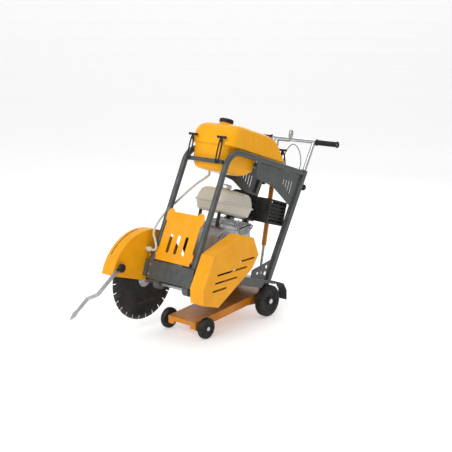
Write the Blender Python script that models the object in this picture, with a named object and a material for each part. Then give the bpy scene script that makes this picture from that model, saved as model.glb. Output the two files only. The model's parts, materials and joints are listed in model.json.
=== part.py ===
"""Walk-behind concrete saw with a petrol engine, water tank and folding pointer.

Metres, +Z up. +X is the operator's left, +Y points back to the operator.
The main frame pivots on the rear axle and stands nose-up by TILT at rest.
Frame pieces are written in the frame's own coordinates: origin on the rear
axle, +Z square to the engine deck.
"""
import math

import bmesh
import bpy
from mathutils import Matrix, Vector

# ---- overall sizes ----
TILT = math.radians(18.0)
FRAME_HALF = 0.145        # centre plane of a side tube
FRAME_TOP = 0.757         # centre line of the top run of a side tube
BEAM_FRONT = -0.688       # front face of the front beam
GAP = 0.0005              # gap between touching pieces
RUN = 0.0004              # radial running clearance

# ---- wheels and undercarriage ----
REAR_R = 0.090
REAR_W = 0.052
REAR_TYRE_DEPTH = 0.030
REAR_HUB_R = REAR_R - REAR_TYRE_DEPTH
REAR_IN = 0.129           # inner side of a rear wheel
FRONT_R = 0.057
FRONT_W = 0.033
FRONT_IN = 0.118
FRONT_AXLE_Y = -0.502
REAR_AXLE_R = 0.010
FRONT_AXLE_R = 0.008
PLATE_HALF = 0.098
PLATE_T = 0.004
PLATE_FRONT = -0.547
PLATE_RISE = 0.036        # plate above both axle lines
LUG = (0.114, 0.118)      # spindle pin (y, z)
LUG_PIN_R = 0.006
LUG_IN = 0.0135

# ---- welded frame ----
TUBE_R = 0.0165
BEAM_DEPTH = 0.100
BEAM_OVERHANG = 0.015     # beam end outside the centre plane of a tube
BEAM_HALF = FRAME_HALF + BEAM_OVERHANG
BEAM_TOP = 0.112
BEAM_LOW = 0.012
BEAM_WALL = 0.005
DECK_TOP = 0.115
DECK_T = 0.005
RAIL_LOW = 0.065
RAIL_T = 0.005
EAR_CLEAR = 0.0175        # ear inside the plate's edge plane
EAR_IN = PLATE_HALF + EAR_CLEAR
EAR_T = 0.006
UPRIGHT = 0.030
UPRIGHT_WALL = 0.0018
UPRIGHT_FOOT = (-0.025, 0.1155)
UPRIGHT_RISE = 0.018      # end of an upright above the centre line of the tubes
UPRIGHT_HEAD = (0.120, FRAME_TOP + UPRIGHT_RISE)
PANEL_T = 0.004

# ---- handle ----
HANDLE_R = 0.0125
HANDLE_TOP = 0.180        # run of the handle above the uprights
HANDLE_IN = 0.260         # length held inside an upright
GRIP_LEN = 0.148
GRIP_R = 0.0155
KNOB_R = 0.019

# ---- blade drive ----
SHAFT_Y = -0.636
SHAFT_R = 0.0125
BLADE_R = 0.225
BLADE_T = 0.0036
BLADE_OFFSET = 0.080      # blade outside the centre plane of a tube
BLADE_X = -(FRAME_HALF + BLADE_OFFSET)
SEGMENTS = 26
FLANGE_R = 0.045
GUARD_GAP = 0.050         # guard rim outside the blade
GUARD_BACK = 0.039        # inner side of the blade guard from the blade
GUARD_FRONT = 0.040
GUARD_IN = BLADE_X + GUARD_BACK
GUARD_OUT = BLADE_X - GUARD_FRONT
GUARD_WALL = 0.003
BELT_W = 0.030
BELT_T = 0.009
BLADE_PULLEY_R = 0.038
ENGINE_PULLEY_R = 0.028
PULLEY_OFFSET = 0.050     # belt plane outside the centre plane of a tube
PULLEY_X = FRAME_HALF + PULLEY_OFFSET
CRANK = (-0.395, 0.245)
BELT_GUARD_BACK = 0.030   # belt guard each side of the belt plane
BELT_GUARD_FRONT = 0.060
BELT_GUARD_IN = PULLEY_X - BELT_GUARD_BACK
BELT_GUARD_OUT = PULLEY_X + BELT_GUARD_FRONT
BELT_GUARD_WALL = 0.003

# ---- tanks ----
TANK_NECK_R = 0.032
TANK_NECK_Y = -0.483
TANK_CAP_R = 0.039
FUEL_WALL = 0.0015
FUEL_NECK_R = 0.022
FUEL_CAP_R = 0.030

YELLOW = (0.93, 0.49, 0.02)
ORANGE = (0.80, 0.33, 0.02)
GREY = (0.10, 0.115, 0.125)
BLACK = (0.012, 0.012, 0.013)
ZINC = (0.62, 0.64, 0.66)
STEEL = (0.45, 0.46, 0.48)
CREAM = (0.72, 0.70, 0.62)
ALLOY = (0.50, 0.50, 0.51)

for old in list(bpy.data.objects):
    bpy.data.objects.remove(old, do_unlink=True)


# ---------------------------------------------------------------- helpers
def empty(name, location=(0, 0, 0), parent=None, turn_x=0.0):
    obj = bpy.data.objects.new(name, None)
    bpy.context.collection.objects.link(obj)
    obj.location = location
    obj.rotation_euler = (turn_x, 0, 0)
    obj.parent = parent
    return obj


def material(name, colour, rough, metal):
    mat = bpy.data.materials.new(name)
    mat.use_nodes = True
    shader = mat.node_tree.nodes["Principled BSDF"]
    shader.inputs["Base Color"].default_value = (*colour, 1)
    shader.inputs["Roughness"].default_value = rough
    shader.inputs["Metallic"].default_value = metal
    mat.diffuse_color = (*colour, 1)
    return mat


def add(name, bm, parent, look, origin=(0, 0, 0), smooth=None):
    """Make an object from bm, whose points are in the parent's coordinates."""
    bmesh.ops.recalc_face_normals(bm, faces=bm.faces)
    bmesh.ops.translate(bm, verts=bm.verts, vec=-Vector(origin))
    mesh = bpy.data.meshes.new(name)
    bm.to_mesh(mesh)
    bm.free()
    obj = bpy.data.objects.new(name, mesh)
    bpy.context.collection.objects.link(obj)
    obj.parent = parent
    obj.location = origin
    mesh.materials.append(material(name, *look))
    if smooth is not None:
        mesh.shade_smooth()
        mesh.set_sharp_from_angle(angle=math.radians(smooth))
    return obj


def tool(target, bm, operation):
    """Cut bm out of target, or weld it on, with a hidden helper."""
    bmesh.ops.recalc_face_normals(bm, faces=bm.faces)
    bmesh.ops.translate(bm, verts=bm.verts, vec=-target.location)
    mesh = bpy.data.meshes.new("helper")
    bm.to_mesh(mesh)
    bm.free()
    obj = bpy.data.objects.new("helper_" + target.name, mesh)
    bpy.context.collection.objects.link(obj)
    obj.parent = target.parent
    obj.location = target.location
    obj.hide_render = True
    obj.display_type = "WIRE"
    mod = target.modifiers.new(operation.title(), "BOOLEAN")
    mod.operation = operation
    mod.solver = "EXACT"
    mod.object = obj


def cut(target, *shapes):
    for bm in shapes:
        tool(target, bm, "DIFFERENCE")


def weld(target, *shapes):
    for bm in shapes:
        tool(target, bm, "UNION")


def loft(rings, closed=False):
    """Skin equal rings of points; closed joins the last ring to the first."""
    bm = bmesh.new()
    rows = [[bm.verts.new(p) for p in ring] for ring in rings]
    count = len(rows[0])
    pairs = list(zip(rows, rows[1:]))
    if closed:
        pairs.append((rows[-1], rows[0]))
    for a, b in pairs:
        for i in range(count):
            j = (i + 1) % count
            bm.faces.new((a[i], a[j], b[j], b[i]))
    if not closed:
        bm.faces.new(rows[0][::-1])
        bm.faces.new(rows[-1])
    return bm


def prism(outline, low, high, axis="x"):
    """Extrude a flat outline along an axis; outline is (y,z), (x,z) or (x,y)."""
    place = {
        "x": lambda a, b, h: (h, a, b),
        "y": lambda a, b, h: (a, h, b),
        "z": lambda a, b, h: (a, b, h),
    }[axis]
    return loft([[place(a, b, h) for a, b in outline] for h in (low, high)])


def box(x0, x1, y0, y1, z0, z1):
    return prism([(y0, z0), (y1, z0), (y1, z1), (y0, z1)], x0, x1)


def circle(cy, cz, radius, count=24, start=0.0):
    turn = 2 * math.pi / count
    return [(cy + radius * math.cos(start + i * turn), cz + radius * math.sin(start + i * turn))
            for i in range(count)]


def rod(x0, x1, cy, cz, radius, count=24):
    return prism(circle(cy, cz, radius, count), x0, x1)


def turned(profile, cy, cz, count=24):
    """Turn (x, radius) points about the X line through (cy, cz)."""
    rings = [[(x, y, z) for y, z in circle(cy, cz, r, count)] for x, r in profile]
    closed = all(r > 0 for _, r in profile)
    return loft(rings, closed=closed)


def solid_turned(profile, cy, cz, count=20):
    """A turned piece with no bore: the end rings are capped."""
    return loft([[(x, y, z) for y, z in circle(cy, cz, r, count)] for x, r in profile])


def frames_along(points):
    """Tangent and side vectors along a path, with no twist."""
    points = [Vector(p) for p in points]
    tangents = []
    for i in range(len(points)):
        a = points[max(i - 1, 0)]
        b = points[min(i + 1, len(points) - 1)]
        tangents.append((b - a).normalized())
    side = tangents[0].orthogonal().normalized()
    frames = []
    for t in tangents:
        side = (side - t * side.dot(t)).normalized()
        frames.append((side.copy(), t.cross(side)))
    return points, frames


def sweep(path, radius, sides=12):
    points, frames = frames_along(path)
    rings = []
    for p, (u, v) in zip(points, frames):
        rings.append([p + radius * (math.cos(a) * u + math.sin(a) * v)
                      for a in (2 * math.pi * k / sides for k in range(sides))])
    return loft(rings)


def bend(a, b, c, radius, steps=6):
    """Points of the arc that rounds the corner a-b-c."""
    a, b, c = Vector(a), Vector(b), Vector(c)
    u = (a - b).normalized()
    v = (c - b).normalized()
    half = u.angle(v) / 2
    reach = radius / math.tan(half)
    centre = b + (u + v).normalized() * (radius / math.sin(half))
    start = b + u * reach - centre
    end = b + v * reach - centre
    total = start.angle(end)
    axis = start.cross(end).normalized()
    return [centre + Matrix.Rotation(total * k / steps, 3, axis) @ start for k in range(steps + 1)]


def ring_xy(y0, y1, half, corner, z):
    """Rounded rectangle about X = 0 at height z, 16 points."""
    pts = []
    for cx, cy, start in ((half, y1, 0), (-half, y1, 90), (-half, y0, 180), (half, y0, 270)):
        ox = cx - math.copysign(corner, cx)
        oy = cy + (corner if cy == y0 else -corner)
        for k in range(4):
            a = math.radians(start + 30 * k)
            pts.append((ox + corner * math.cos(a), oy + corner * math.sin(a), z))
    return pts


def neck_ring(cx, cy, radius, z):
    """Circle whose 16 points match ring_xy."""
    pts = []
    for start in (0, 90, 180, 270):
        for k in range(4):
            a = math.radians(start + 11.25 + 22.5 * k)
            pts.append((cx + radius * math.cos(a), cy + radius * math.sin(a), z))
    return pts


layout = empty("layout")
chassis = empty("chassis", (0, 0, 0), layout)
frame = empty("frame", (0, 0, REAR_R), layout, -TILT)

PAINT_Y = (YELLOW, 0.35, 0.0)
PAINT_O = (ORANGE, 0.40, 0.0)
PAINT_G = (GREY, 0.40, 0.0)
RUBBER = (BLACK, 0.75, 0.0)
PLASTIC = (BLACK, 0.45, 0.0)
BRIGHT = (ZINC, 0.30, 1.0)
METAL = (STEEL, 0.40, 1.0)
CAST = (ALLOY, 0.50, 1.0)

# ---------------------------------------------------------------- undercarriage
front_z = FRONT_R
rear_z = REAR_R
slope = (rear_z - front_z) / (0 - FRONT_AXLE_Y)


def plate_z(y):
    """Top of the carriage plate above the line through both axles."""
    return rear_z + slope * y + PLATE_RISE


plate_back = 0.060
side = [
    (PLATE_FRONT, plate_z(PLATE_FRONT)),
    (PLATE_FRONT, front_z - 0.008),
    (PLATE_FRONT + 0.020, front_z - 0.022),
    (FRONT_AXLE_Y + 0.020, front_z - 0.022),
    (FRONT_AXLE_Y + 0.090, plate_z(FRONT_AXLE_Y + 0.090) - 0.045),
    (-0.110, plate_z(-0.110) - 0.045),
    (-0.030, rear_z - 0.024),
    (0.030, rear_z - 0.024),
    (plate_back, plate_z(plate_back) - 0.030),
    (plate_back, plate_z(plate_back)),
]
plate = add("carriage_plate", prism(side, -PLATE_HALF, PLATE_HALF), chassis, PAINT_O)
hollow = [
    (PLATE_FRONT + PLATE_T, plate_z(PLATE_FRONT) - PLATE_T),
    (PLATE_FRONT + PLATE_T, -0.05),
    (plate_back + 0.02, -0.05),
    (plate_back + 0.02, plate_z(plate_back + 0.02) - PLATE_T),
]
cut(plate, prism(hollow, -PLATE_HALF + PLATE_T, PLATE_HALF - PLATE_T))
front_window = 0.060
cut(plate, box(-front_window, front_window, PLATE_FRONT - 0.01, PLATE_FRONT + 0.012, -0.02,
               front_z + 0.008))
ear = [
    (0.030, plate_z(0.030) - 0.001),
    (0.030, LUG[1] - 0.018),
    (LUG[0], LUG[1] - 0.015),
    (LUG[0] + 0.0105, LUG[1] - 0.0105),
    (LUG[0] + 0.015, LUG[1]),
    (LUG[0] + 0.0105, LUG[1] + 0.0105),
    (LUG[0], LUG[1] + 0.015),
    (plate_back + 0.004, plate_z(plate_back) - 0.001),
]
for s in (-1, 1):
    weld(plate, prism(ear, min(s * LUG_IN, s * (LUG_IN + 0.005)), max(s * LUG_IN, s * (LUG_IN + 0.005))))
cut(
    plate,
    rod(-0.2, 0.2, FRONT_AXLE_Y, front_z, FRONT_AXLE_R + RUN, 16),
    rod(-0.2, 0.2, 0, rear_z, REAR_AXLE_R + RUN, 16),
)
weld(plate, rod(-LUG_IN - 0.008, LUG_IN + 0.008, LUG[0], LUG[1], LUG_PIN_R, 16))


def axle(name, y, z, radius, reach, cap):
    profile = [(-reach - 0.004, cap * 0.7), (-reach - GAP, cap), (-reach - GAP, radius),
               (reach + GAP, radius), (reach + GAP, cap), (reach + 0.004, cap * 0.7)]
    add(name, solid_turned(profile, y, z, 16), chassis, BRIGHT, (0, y, z), 40)


axle("front_axle", FRONT_AXLE_Y, front_z, FRONT_AXLE_R, FRONT_IN + FRONT_W, 0.0125)
axle("rear_axle", 0, rear_z, REAR_AXLE_R, REAR_IN + REAR_W, 0.016)

for s, label in ((1, "left"), (-1, "right")):
    x0 = FRONT_IN
    x1 = FRONT_IN + FRONT_W
    bore = FRONT_AXLE_R + RUN
    prof = [(x0, bore), (x0, FRONT_R - 0.024), (x0 + 0.002, FRONT_R - 0.020), (x0, FRONT_R - 0.008),
            (x0 + 0.006, FRONT_R), (x1 - 0.006, FRONT_R), (x1, FRONT_R - 0.008),
            (x1 - 0.003, FRONT_R - 0.020), (x1, FRONT_R - 0.026), (x1, bore)]
    add("front_wheel_" + label, turned([(s * x, r) for x, r in prof], FRONT_AXLE_Y, front_z, 20),
        chassis, RUBBER, (0, FRONT_AXLE_Y, front_z), 35)
    x0 = REAR_IN
    x1 = REAR_IN + REAR_W
    prof = [(x0 + 0.006, REAR_HUB_R), (x0, REAR_HUB_R + 0.008), (x0, REAR_R - 0.010),
            (x0 + 0.008, REAR_R), (x1 - 0.008, REAR_R), (x1, REAR_R - 0.010),
            (x1, REAR_HUB_R + 0.008), (x1 - 0.006, REAR_HUB_R)]
    add("rear_tyre_" + label, turned([(s * x, r) for x, r in prof], 0, rear_z, 24),
        chassis, RUBBER, (0, 0, rear_z), 35)
    bore = REAR_AXLE_R + RUN
    rim = REAR_HUB_R - GAP
    prof = [(x0, bore), (x0, bore + 0.012), (x0 + 0.012, bore + 0.014), (x0 + 0.012, rim - 0.006),
            (x0 + 0.007, rim), (x1 - 0.007, rim), (x1 - 0.012, rim - 0.006),
            (x1 - 0.016, bore + 0.014), (x1, bore + 0.012), (x1, bore)]
    add("rear_hub_" + label, turned([(s * x, r) for x, r in prof], 0, rear_z, 20),
        chassis, PLASTIC, (0, 0, rear_z), 35)

# ---------------------------------------------------------------- welded frame
beam_back = BEAM_FRONT + BEAM_DEPTH
beam = [
    (BEAM_FRONT, BEAM_LOW), (BEAM_FRONT + BEAM_WALL, BEAM_LOW),
    (BEAM_FRONT + BEAM_WALL, BEAM_TOP - BEAM_WALL), (beam_back - BEAM_WALL, BEAM_TOP - BEAM_WALL),
    (beam_back - BEAM_WALL, BEAM_LOW), (beam_back, BEAM_LOW), (beam_back, BEAM_TOP),
    (BEAM_FRONT, BEAM_TOP),
]
add("front_beam", prism(beam, -BEAM_HALF, BEAM_HALF), frame, PAINT_G)

deck_front = beam_back + GAP
deck_back = 0.040
wheel_step = -0.085       # rail steps up over the rear wheels from here
flange = [(deck_front, RAIL_LOW), (wheel_step, RAIL_LOW), (wheel_step + 0.02, REAR_R + 0.008),
          (deck_back, REAR_R + 0.008), (deck_back, DECK_TOP), (deck_front, DECK_TOP)]
base = add("base_frame", prism(flange, -BEAM_HALF, BEAM_HALF), frame, PAINT_G)
cut(base, box(-BEAM_HALF + RAIL_T, BEAM_HALF - RAIL_T, deck_front - 0.01, deck_back + 0.01,
              RAIL_LOW - 0.05, DECK_TOP - DECK_T))
ear = [(-0.022, -0.008), (-0.015, -0.018), (0.0, -0.023), (0.015, -0.018), (0.022, -0.008),
       (0.034, DECK_TOP - 0.001), (-0.060, DECK_TOP - 0.001)]
for s in (-1, 1):
    weld(base, prism(ear, min(s * EAR_IN, s * (EAR_IN + EAR_T)), max(s * EAR_IN, s * (EAR_IN + EAR_T))))
cut(base, rod(-0.2, 0.2, 0, 0, REAR_AXLE_R + RUN, 16))

foot = Vector((0, *UPRIGHT_FOOT))
head = Vector((0, *UPRIGHT_HEAD))
along = (head - foot).normalized()
lean = math.atan2(along.y, along.z)


def upright_y(z):
    """Centre line of an upright at height z."""
    return foot.y + (z - foot.z) * along.y / along.z


upright_face = UPRIGHT / 2 / math.cos(lean)

for s, label in ((1, "left"), (-1, "right")):
    x = s * FRAME_HALF
    low = Vector((x, BEAM_FRONT + TUBE_R + 0.001, BEAM_TOP + GAP))
    corner = Vector((x, low.y + 0.094, FRAME_TOP))
    back = Vector((x, upright_y(FRAME_TOP) - upright_face - 0.006, FRAME_TOP))
    path = [low - (corner - low).normalized() * 0.006, low + (corner - low) * 0.5]
    path += bend(low, corner, back, 0.105, 7)
    path += [back]
    tube = sweep(path, TUBE_R, 14)
    tube_obj = add("side_tube_" + label, tube, frame, PAINT_G, low, 30)
    cut(tube_obj, box(x - 0.05, x + 0.05, low.y - 0.05, low.y + 0.05, low.z - 0.05, low.z))

    h = UPRIGHT / 2
    w = UPRIGHT / 2 - UPRIGHT_WALL
    length = (head - foot).length
    square = [(-h, -h), (h, -h), (h, h), (-h, h)]
    inner = [(-w, -w), (w, -w), (w, w), (-w, w)]

    def at(a, b, d):
        across = Vector((0, along.z, -along.y))
        return Vector((x, foot.y, foot.z)) + Vector((a, 0, 0)) + across * b + along * d

    rings = [[at(a, b, d) for a, b in shape]
             for shape, d in ((square, -0.005), (square, length), (inner, length), (inner, -0.005))]
    post = add("upright_" + label, loft(rings, closed=True), frame, PAINT_G, (x, foot.y, foot.z))
    cut(post, box(x - 0.03, x + 0.03, foot.y - 0.05, foot.y + 0.05, foot.z - 0.03, foot.z + 0.0001))

    px0 = x - PANEL_T / 2
    px1 = x + PANEL_T / 2
    top = FRAME_TOP - TUBE_R - GAP
    panel_low = top - 0.190

    def face(z):
        return upright_y(z) - upright_face - GAP

    panel = [(-0.335, top), (-0.312, top - 0.088), (-0.150, top - 0.106), (face(panel_low) - 0.004, panel_low),
             (face(panel_low), panel_low), (face(top), top)]
    obj = add("side_panel_" + label, prism(panel, px0, px1), frame, PAINT_G)
    for k in range(4):
        y = -0.062 + 0.026 * k
        z1 = top - 0.048
        z0 = z1 - 0.030 - 0.013 * k
        lean_y = 0.08 * (z1 - z0)
        slot = [(y - lean_y, z0), (y + 0.007 - lean_y, z0), (y + 0.007, z1), (y, z1)]
        cut(obj, prism(slot, px0 - 0.01, px1 + 0.01))

    g0 = DECK_TOP + GAP
    g1 = g0 + 0.122
    gusset = [(-0.185, g0), (face(g0) - 0.0005, g0), (face(g1), g1), (face(g1) - 0.006, g1), (-0.185, g0 + 0.040)]
    obj = add("gusset_" + label, prism(gusset, px0, px1), frame, PAINT_G)
    for y, z, r in ((-0.062, 0.034, 0.012), (-0.100, 0.034, 0.010), (-0.060, 0.072, 0.010), (-0.132, 0.028, 0.008)):
        cut(obj, rod(px0 - 0.01, px1 + 0.01, y, g0 + z, r, 14))

    fx0 = REAR_IN - 0.002
    fx1 = REAR_IN + REAR_W + 0.004
    clear = REAR_R + 0.026
    deck_edge = deck_back + GAP
    outer = [(deck_edge, DECK_TOP - 0.001), (0.085, clear - 0.005), (0.128, clear - 0.040), (0.146, clear - 0.092)]
    strip = outer + [(y - 0.004, z - 0.004) for y, z in reversed(outer[1:])]
    strip += [(deck_edge, DECK_TOP - 0.006)]
    xs = sorted((s * fx0, s * fx1))
    add("fender_" + label, prism(strip, *xs), frame, PLASTIC)

bar_half = FRAME_HALF - TUBE_R - GAP
front_bar_y = BEAM_FRONT + TUBE_R + 0.071
front_bar_z = FRAME_TOP - 0.071
add("tank_bar_front", rod(-FRAME_HALF + TUBE_R * 0.98 + GAP, FRAME_HALF - TUBE_R * 0.98 - GAP,
                          front_bar_y, front_bar_z, 0.012, 16), frame, PAINT_G, (0, front_bar_y, front_bar_z), 30)
rear_bar_y = -0.036
spindle_u = Vector((0, 0.030, FRAME_TOP - 0.057))
rear_bar = add("tank_bar_rear", rod(-bar_half, bar_half, rear_bar_y, FRAME_TOP, 0.012, 16),
               frame, PAINT_G, (0, rear_bar_y, FRAME_TOP), 30)
ear = [(rear_bar_y - 0.006, FRAME_TOP - 0.004), (rear_bar_y - 0.004, FRAME_TOP - 0.012),
       (spindle_u.y - 0.012, spindle_u.z - 0.010), (spindle_u.y, spindle_u.z - 0.015),
       (spindle_u.y + 0.012, spindle_u.z - 0.008), (spindle_u.y + 0.013, spindle_u.z + 0.006),
       (rear_bar_y + 0.006, FRAME_TOP + 0.004)]
for s in (-1, 1):
    weld(rear_bar, prism(ear, min(s * 0.020, s * 0.026), max(s * 0.020, s * 0.026)))
cut(rear_bar, rod(-0.05, 0.05, spindle_u.y, spindle_u.z, 0.006 + RUN, 16))

# front panel stands on the front of the side tubes
tube_lean = math.atan2(0.094, FRAME_TOP - BEAM_TOP)
panel_foot = Vector((0, BEAM_FRONT + TUBE_R + 0.001 - TUBE_R / math.cos(tube_lean) - GAP, BEAM_TOP + 0.008))
half = FRAME_HALF - 0.014
tall = 0.283
outline = [
    (-half + 0.010, 0.0), (half - 0.010, 0.0), (half - 0.010, 0.018), (half, 0.028), (half, 0.060),
    (half - 0.012, 0.070), (half - 0.012, tall - 0.070), (half, tall - 0.060), (half, tall - 0.020),
    (half - 0.014, tall), (half - 0.040, tall), (half - 0.048, tall - 0.014),
    (-half + 0.048, tall - 0.014), (-half + 0.040, tall), (-half + 0.014, tall),
    (-half, tall - 0.020), (-half, tall - 0.060), (-half + 0.012, tall - 0.070),
    (-half + 0.012, 0.070), (-half, 0.060), (-half, 0.028), (-half + 0.010, 0.018),
]


def on_panel(a, up, out):
    return (a, panel_foot.y + up * math.sin(tube_lean) - out * math.cos(tube_lean),
            panel_foot.z + up * math.cos(tube_lean) + out * math.sin(tube_lean))


fp = add("front_panel", loft([[on_panel(a, b, d) for a, b in outline] for d in (0.0, 0.003)]), frame, PAINT_Y,
         tuple(panel_foot))
for k in (-1, 0, 1):
    c = 0.055 * k
    slot = [(c - 0.010, 0.052), (c - 0.007, 0.046), (c + 0.007, 0.046), (c + 0.010, 0.052),
            (c + 0.010, 0.142), (c + 0.007, 0.148), (c - 0.007, 0.148), (c - 0.010, 0.142)]
    cut(fp, loft([[on_panel(a, b, d) for a, b in slot] for d in (-0.01, 0.02)]))

# ---------------------------------------------------------------- handle
HANDLE_AXIS = along
cross = head + along * HANDLE_TOP
leg_foot = head - along * HANDLE_IN
corner_l = Vector((FRAME_HALF, cross.y, cross.z))
corner_r = Vector((-FRAME_HALF, cross.y, cross.z))
leg_l = Vector((FRAME_HALF, leg_foot.y, leg_foot.z))
leg_r = Vector((-FRAME_HALF, leg_foot.y, leg_foot.z))
bar = add("handlebar", rod(-FRAME_HALF - GRIP_LEN - 0.012, FRAME_HALF + GRIP_LEN + 0.012, cross.y, cross.z,
                           HANDLE_R, 16), frame, BRIGHT, tuple(cross), 30)
weld(bar, sweep([leg_l, corner_l], HANDLE_R * 0.985, 16), sweep([leg_r, corner_r], HANDLE_R * 0.985, 16))
for s, label in ((1, "left"), (-1, "right")):
    g0 = FRAME_HALF + HANDLE_R + 0.006
    g1 = g0 + GRIP_LEN
    bore = HANDLE_R + RUN
    prof = [(g0, bore), (g0, GRIP_R + 0.004), (g0 + 0.005, GRIP_R + 0.004), (g0 + 0.009, GRIP_R),
            (g1 - 0.012, GRIP_R), (g1 - 0.008, GRIP_R + 0.003), (g1 - 0.002, GRIP_R + 0.003), (g1, GRIP_R), (g1, bore)]
    add("grip_" + label, turned([(s * a, r) for a, r in prof], cross.y, cross.z, 16), frame, RUBBER,
        (s * g0, cross.y, cross.z), 35)
    # clamp knob: its screw goes through the upright's back wall to the leg
    kz = FRAME_TOP - 0.070
    centre = Vector((s * FRAME_HALF, upright_y(kz), kz))
    out = Vector((0, along.z, -along.y))
    u = Vector((1, 0, 0))
    v = out.cross(u)

    def knob_ring(r, d):
        return [centre + out * d + r * (math.cos(t) * u + math.sin(t) * v)
                for t in (2 * math.pi * k / 14 for k in range(14))]

    face_d = UPRIGHT / 2 + 0.0015
    steps = [(0.0040, HANDLE_R + 0.0006), (0.0040, face_d + 0.004), (0.010, face_d + 0.004), (0.010, face_d + 0.014),
             (KNOB_R - 0.002, face_d + 0.015), (KNOB_R, face_d + 0.018), (KNOB_R, face_d + 0.030), (KNOB_R - 0.003, face_d + 0.033)]
    add("clamp_knob_" + label, loft([knob_ring(r, d) for r, d in steps]), frame, PLASTIC, tuple(centre), 35)
    cut(bpy.data.objects["upright_" + label], loft([knob_ring(0.0045, UPRIGHT / 2 - 0.006), knob_ring(0.0045, UPRIGHT / 2 + 0.01)]))

# ---------------------------------------------------------------- blade drive
arbor_r = 0.0123
seat = BLADE_X + BLADE_T / 2 + GAP
off = BLADE_X - BLADE_T / 2 - GAP
groove = BELT_W / 2
lip = 0.004
profile = [(-0.2585, 0.0095), (-0.2565, arbor_r), (seat, arbor_r), (seat, FLANGE_R), (seat + 0.008, FLANGE_R),
           (seat + 0.008, SHAFT_R + 0.006), (seat + 0.012, SHAFT_R)]
pulley_face = BLADE_PULLEY_R + BELT_T - 0.001
p0 = PULLEY_X - groove - 0.002
p1 = PULLEY_X + groove + 0.002
profile += [(p0 - lip, SHAFT_R), (p0 - lip, pulley_face), (p0, pulley_face), (p0, BLADE_PULLEY_R),
            (p1, BLADE_PULLEY_R), (p1, pulley_face), (p1 + lip, pulley_face), (p1 + lip, SHAFT_R),
            (p1 + lip + 0.010, SHAFT_R), (p1 + lip + 0.011, SHAFT_R - 0.002)]
add("blade_shaft", solid_turned(profile, SHAFT_Y, 0, 18), frame, METAL, (0, SHAFT_Y, 0), 30)
prof = [(off, arbor_r + RUN), (off, FLANGE_R), (off - 0.007, FLANGE_R - 0.004), (off - 0.008, 0.019),
        (off - 0.022, 0.018), (off - 0.022, arbor_r + RUN)]
add("flange_nut", turned(prof, SHAFT_Y, 0, 18), frame, METAL, (0, SHAFT_Y, 0), 30)

inner_loop = []
outer_loop = []
step = 2 * math.pi / SEGMENTS
slot_half = 0.0016 / BLADE_R
for k in range(SEGMENTS):
    a = k * step
    b = a + step - 2 * slot_half
    for ang, r in ((a, BLADE_R - 0.024), (a + 0.0006, BLADE_R), (b - 0.0006, BLADE_R), (b, BLADE_R - 0.024)):
        ang += slot_half
        outer_loop.append((SHAFT_Y + r * math.cos(ang), r * math.sin(ang)))
        inner_loop.append((SHAFT_Y + (arbor_r + RUN) * math.cos(ang), (arbor_r + RUN) * math.sin(ang)))
b0 = BLADE_X - BLADE_T / 2
b1 = BLADE_X + BLADE_T / 2
add("saw_blade", loft([[(b0, *p) for p in inner_loop], [(b0, *p) for p in outer_loop],
                       [(b1, *p) for p in outer_loop], [(b1, *p) for p in inner_loop]], closed=True),
    frame, METAL, (BLADE_X, SHAFT_Y, 0))

for s, label in ((1, "left"), (-1, "right")):
    x0 = s * 0.085
    x1 = s * 0.125
    foot_half = BEAM_DEPTH / 2 - BEAM_WALL - 0.004
    mid = BEAM_FRONT + BEAM_DEPTH / 2
    block = [(mid - foot_half, BEAM_TOP - BEAM_WALL - GAP), (mid - foot_half, BEAM_TOP - BEAM_WALL - 0.014),
             (SHAFT_Y - 0.032, 0.012), (SHAFT_Y - 0.028, -0.018), (SHAFT_Y - 0.012, -0.032),
             (SHAFT_Y + 0.012, -0.032), (SHAFT_Y + 0.028, -0.018), (SHAFT_Y + 0.032, 0.012),
             (mid + foot_half, BEAM_TOP - BEAM_WALL - 0.014), (mid + foot_half, BEAM_TOP - BEAM_WALL - GAP)]
    obj = add("bearing_" + label, prism(block, min(x0, x1), max(x0, x1)), frame, CAST, (x0, SHAFT_Y, 0))
    cut(obj, rod(-0.2, 0.2, SHAFT_Y, 0, SHAFT_R + RUN, 24))


def inset(outline, d):
    """Move every edge of a flat outline inwards by d."""
    area = sum(p[0] * q[1] - q[0] * p[1] for p, q in zip(outline, outline[1:] + outline[:1]))
    sign = 1 if area > 0 else -1
    out = []
    n = len(outline)
    for i in range(n):
        p, q, r = Vector(outline[i - 1]), Vector(outline[i]), Vector(outline[(i + 1) % n])
        u = (q - p).normalized()
        v = (r - q).normalized()
        nu = Vector((-u.y, u.x)) * sign
        nv = Vector((-v.y, v.x)) * sign
        m = (nu + nv).normalized()
        out.append(tuple(q + m * (d / max(m.dot(nu), 0.2))))
    return out


# engine pulley with the crankshaft
c0 = 0.119
prof = [(c0, 0.0127), (p0 - lip, 0.0127), (p0 - lip, ENGINE_PULLEY_R + BELT_T - 0.001),
        (p0, ENGINE_PULLEY_R + BELT_T - 0.001), (p0, ENGINE_PULLEY_R), (p1, ENGINE_PULLEY_R),
        (p1, ENGINE_PULLEY_R + BELT_T - 0.001), (p1 + lip, ENGINE_PULLEY_R + BELT_T - 0.001),
        (p1 + lip, 0.0127), (p1 + lip + 0.008, 0.0127), (p1 + lip + 0.009, 0.010)]
add("engine_pulley", solid_turned(prof, *CRANK, 18), frame, METAL, (PULLEY_X, *CRANK), 30)

# belt loop round both pulleys
a0 = Vector((SHAFT_Y, 0))
a1 = Vector(CRANK)
line = a1 - a0
phi = math.atan2(line.y, line.x)


def belt_loop(extra):
    ra = BLADE_PULLEY_R + extra
    rb = ENGINE_PULLEY_R + extra
    alpha = math.acos((ra - rb) / line.length)
    pts = []
    for k in range(13):
        t = phi + alpha + (2 * math.pi - 2 * alpha) * k / 12
        pts.append((a0.x + ra * math.cos(t), a0.y + ra * math.sin(t)))
    for k in range(11):
        t = phi - alpha + 2 * alpha * k / 10
        pts.append((a1.x + rb * math.cos(t), a1.y + rb * math.sin(t)))
    return pts


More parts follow.
